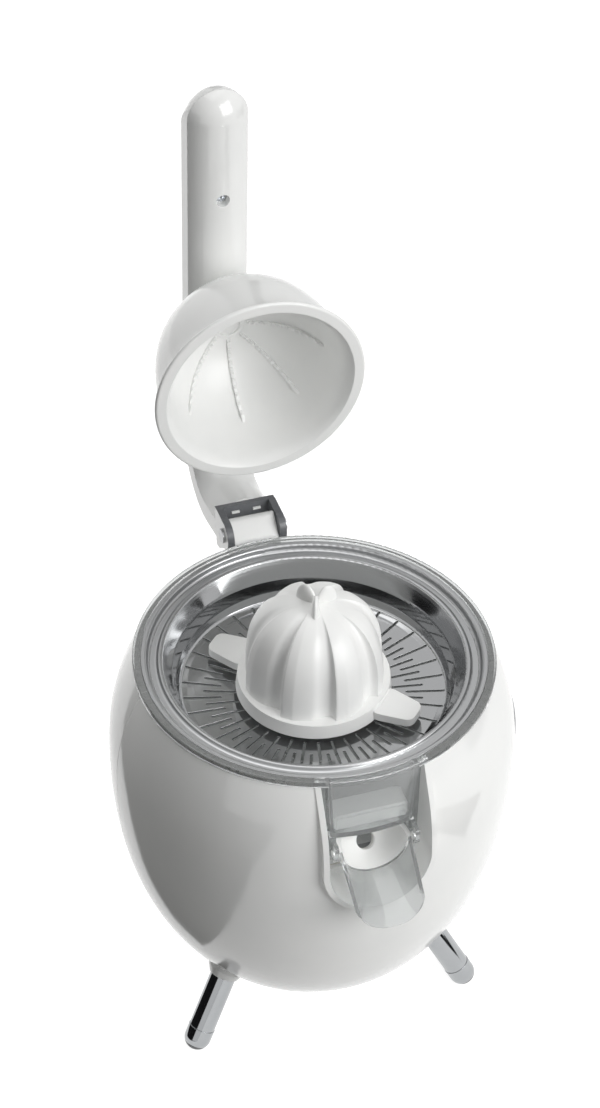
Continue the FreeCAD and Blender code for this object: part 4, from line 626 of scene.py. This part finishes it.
# dark felt that only mirrors and gloss see, each piece by its four corners
felt = {"colour": "2A2A2B", "napMm": 11, "corners": {
    "left_floor_felt": [(-0.09, -0.02, 0.004), (-1.1, 1.45, 0.004), (-2.0, 0.4, 0.004),
                        (-0.55, -0.8, 0.004)],
    "right_floor_felt": [(0.2, -0.12, 0.004), (0.34, -0.12, 0.004), (0.4, -0.5, 0.004),
                         (0.26, -0.5, 0.004)],
    "left_felt": [(-0.95, -0.5, 0.0), (-0.95, 0.5, 0.0), (-0.95, 0.5, 0.45), (-0.95, -0.5, 0.45)],
    "right_felt": [(0.95, -0.35, 0.0), (0.95, 0.25, 0.0), (0.95, 0.25, 0.35), (0.95, -0.35, 0.35)],
    "high_felt": [(0.08, 1.0, 0.45), (0.34, 0.95, 0.45), (0.34, 0.95, 0.95), (0.08, 1.0, 0.95)]}}


def panel(name, corners):
    mesh = bpy.data.meshes.new(name)
    mesh.from_pydata(corners, [], [(0, 1, 2, 3)])
    piece = bpy.data.objects.new(name, mesh)
    bpy.context.scene.collection.objects.link(piece)
    return piece


def facing(place, target):
    return (Vector(place) - Vector(target)).to_track_quat("Z", "Y").to_matrix().to_4x4()


# 1 for what the camera, a mirror or clear plastic sees, 0 for light that falls on the object
def seenRays(tree):
    rays = addNode(tree, "ShaderNodeLightPath").outputs
    seen = addNode(tree, "ShaderNodeMath", {"operation": "MAXIMUM"},
                   {0: rays["Is Camera Ray"], 1: rays["Is Glossy Ray"]}).outputs[0]
    return addNode(tree, "ShaderNodeMath", {"operation": "MAXIMUM"},
                   {0: seen, 1: rays["Is Transmission Ray"]}).outputs[0]


# pale floor: white to the camera and to mirrors, with the object's soft shadow kept on it
def layFloor():
    reach = studio["floorSize"] / 2
    floor = panel("floor", [(-reach, -reach, 0), (reach, -reach, 0), (reach, reach, 0), (-reach, reach, 0)])
    material, tree = emptyMaterial("pale_studio_floor")
    seen = seenRays(tree)
    glow = addNode(tree, "ShaderNodeMath", {"operation": "MULTIPLY", 1: studio["floorGlow"]},
                   {0: seen}).outputs[0]
    shader = addNode(tree, "ShaderNodeBsdfPrincipled", {"Base Color": linear(studio["floorColour"]),
                     "Roughness": 0.9, "Specular IOR Level": 0.0, "Emission Color": (1, 1, 1, 1)},
                     {"Emission Strength": glow}).outputs["BSDF"]
    addNode(tree, "ShaderNodeOutputMaterial", links={"Surface": shader})
    floor.data.materials.append(material)


def hangFelt():
    material, tree = emptyMaterial("dark_felt")
    place = addNode(tree, "ShaderNodeTexCoord").outputs["Object"]
    nap = addNode(tree, "ShaderNodeTexNoise", {"Scale": 1 / (felt["napMm"] * mm)},
                  {"Vector": place}).outputs["Fac"]
    rough = addNode(tree, "ShaderNodeMapRange", {"To Min": 0.8, "To Max": 1.0},
                    {"Value": nap}).outputs["Result"]
    shader = addNode(tree, "ShaderNodeBsdfPrincipled", {"Base Color": linear(felt["colour"]),
                     "Specular IOR Level": 0.0}, {"Roughness": rough}).outputs["BSDF"]
    addNode(tree, "ShaderNodeOutputMaterial", links={"Surface": shader})
    for name, corners in felt["corners"].items():
        piece = panel(name, corners)
        piece.data.materials.append(material)
        piece.visible_camera = False
        piece.visible_diffuse = False
        piece.visible_shadow = False


def addLamp(name, place, size, watts):
    data = bpy.data.lights.new(name, "AREA")
    data.shape = "RECTANGLE"
    data.size, data.size_y = size
    data.energy = watts
    lamp = bpy.data.objects.new(name, data)
    bpy.context.scene.collection.objects.link(lamp)
    lamp.matrix_world = Matrix.Translation(place) @ facing(place, studio["aim"])
    return lamp


def lightWorld():
    world = bpy.data.worlds.new("white_studio")
    world.use_nodes = True
    tree = world.node_tree
    tree.nodes.clear()
    seen = seenRays(tree)
    strength = addNode(tree, "ShaderNodeMapRange", {"To Min": studio["ambient"], "To Max": 1.0},
                       {"Value": seen}).outputs["Result"]
    back = addNode(tree, "ShaderNodeBackground", {"Color": (1, 1, 1, 1)}, {"Strength": strength}).outputs[0]
    addNode(tree, "ShaderNodeOutputWorld", links={"Surface": back})
    bpy.context.scene.world = world


layFloor()
hangFelt()
addLamp("key_lamp", studio["keyPlace"], studio["keySize"], studio["keyWatts"])
addLamp("top_lamp", studio["topPlace"], studio["topSize"], studio["topWatts"])
# a fill for the back that lays no shadow forward and that no mirror sees
back = addLamp("back_lamp", studio["backPlace"], studio["backSize"], studio["backWatts"])
back.data.use_shadow = False
back.visible_glossy = False
lightWorld()
bpy.context.scene.view_settings.view_transform = "Standard"
print("studio lit")


# the photograph's view: degrees round and above the front, and how the frame sits off the rim's centre
shot = {"turn": -19.633, "lift": 40.975, "roll": 1.499, "distance": 1.446939, "slide": (0.006984, -0.047764),
        "aim": (0, 0, 0.216), "lens": 97.473, "sensor": 36}


def placeCamera():
    turn, lift, roll = (math.radians(shot[key]) for key in ("turn", "lift", "roll"))
    back = Vector((math.sin(turn) * math.cos(lift), -math.cos(turn) * math.cos(lift), math.sin(lift)))
    level = Vector((math.cos(turn), math.sin(turn), 0))
    rise = back.cross(level)
    right = math.cos(roll) * level + math.sin(roll) * rise
    top = math.cos(roll) * rise - math.sin(roll) * level
    slide = right * shot["slide"][0] + top * shot["slide"][1]
    place = Vector(shot["aim"]) + back * shot["distance"] - slide
    data = bpy.data.cameras.new("camera")
    data.lens = shot["lens"]
    data.sensor_width = shot["sensor"]
    camera = bpy.data.objects.new("camera", data)
    bpy.context.scene.collection.objects.link(camera)
    camera.matrix_world = Matrix.Translation(place) @ Matrix((right, top, back)).transposed().to_4x4()
    bpy.context.scene.camera = camera


placeCamera()
print("camera placed")
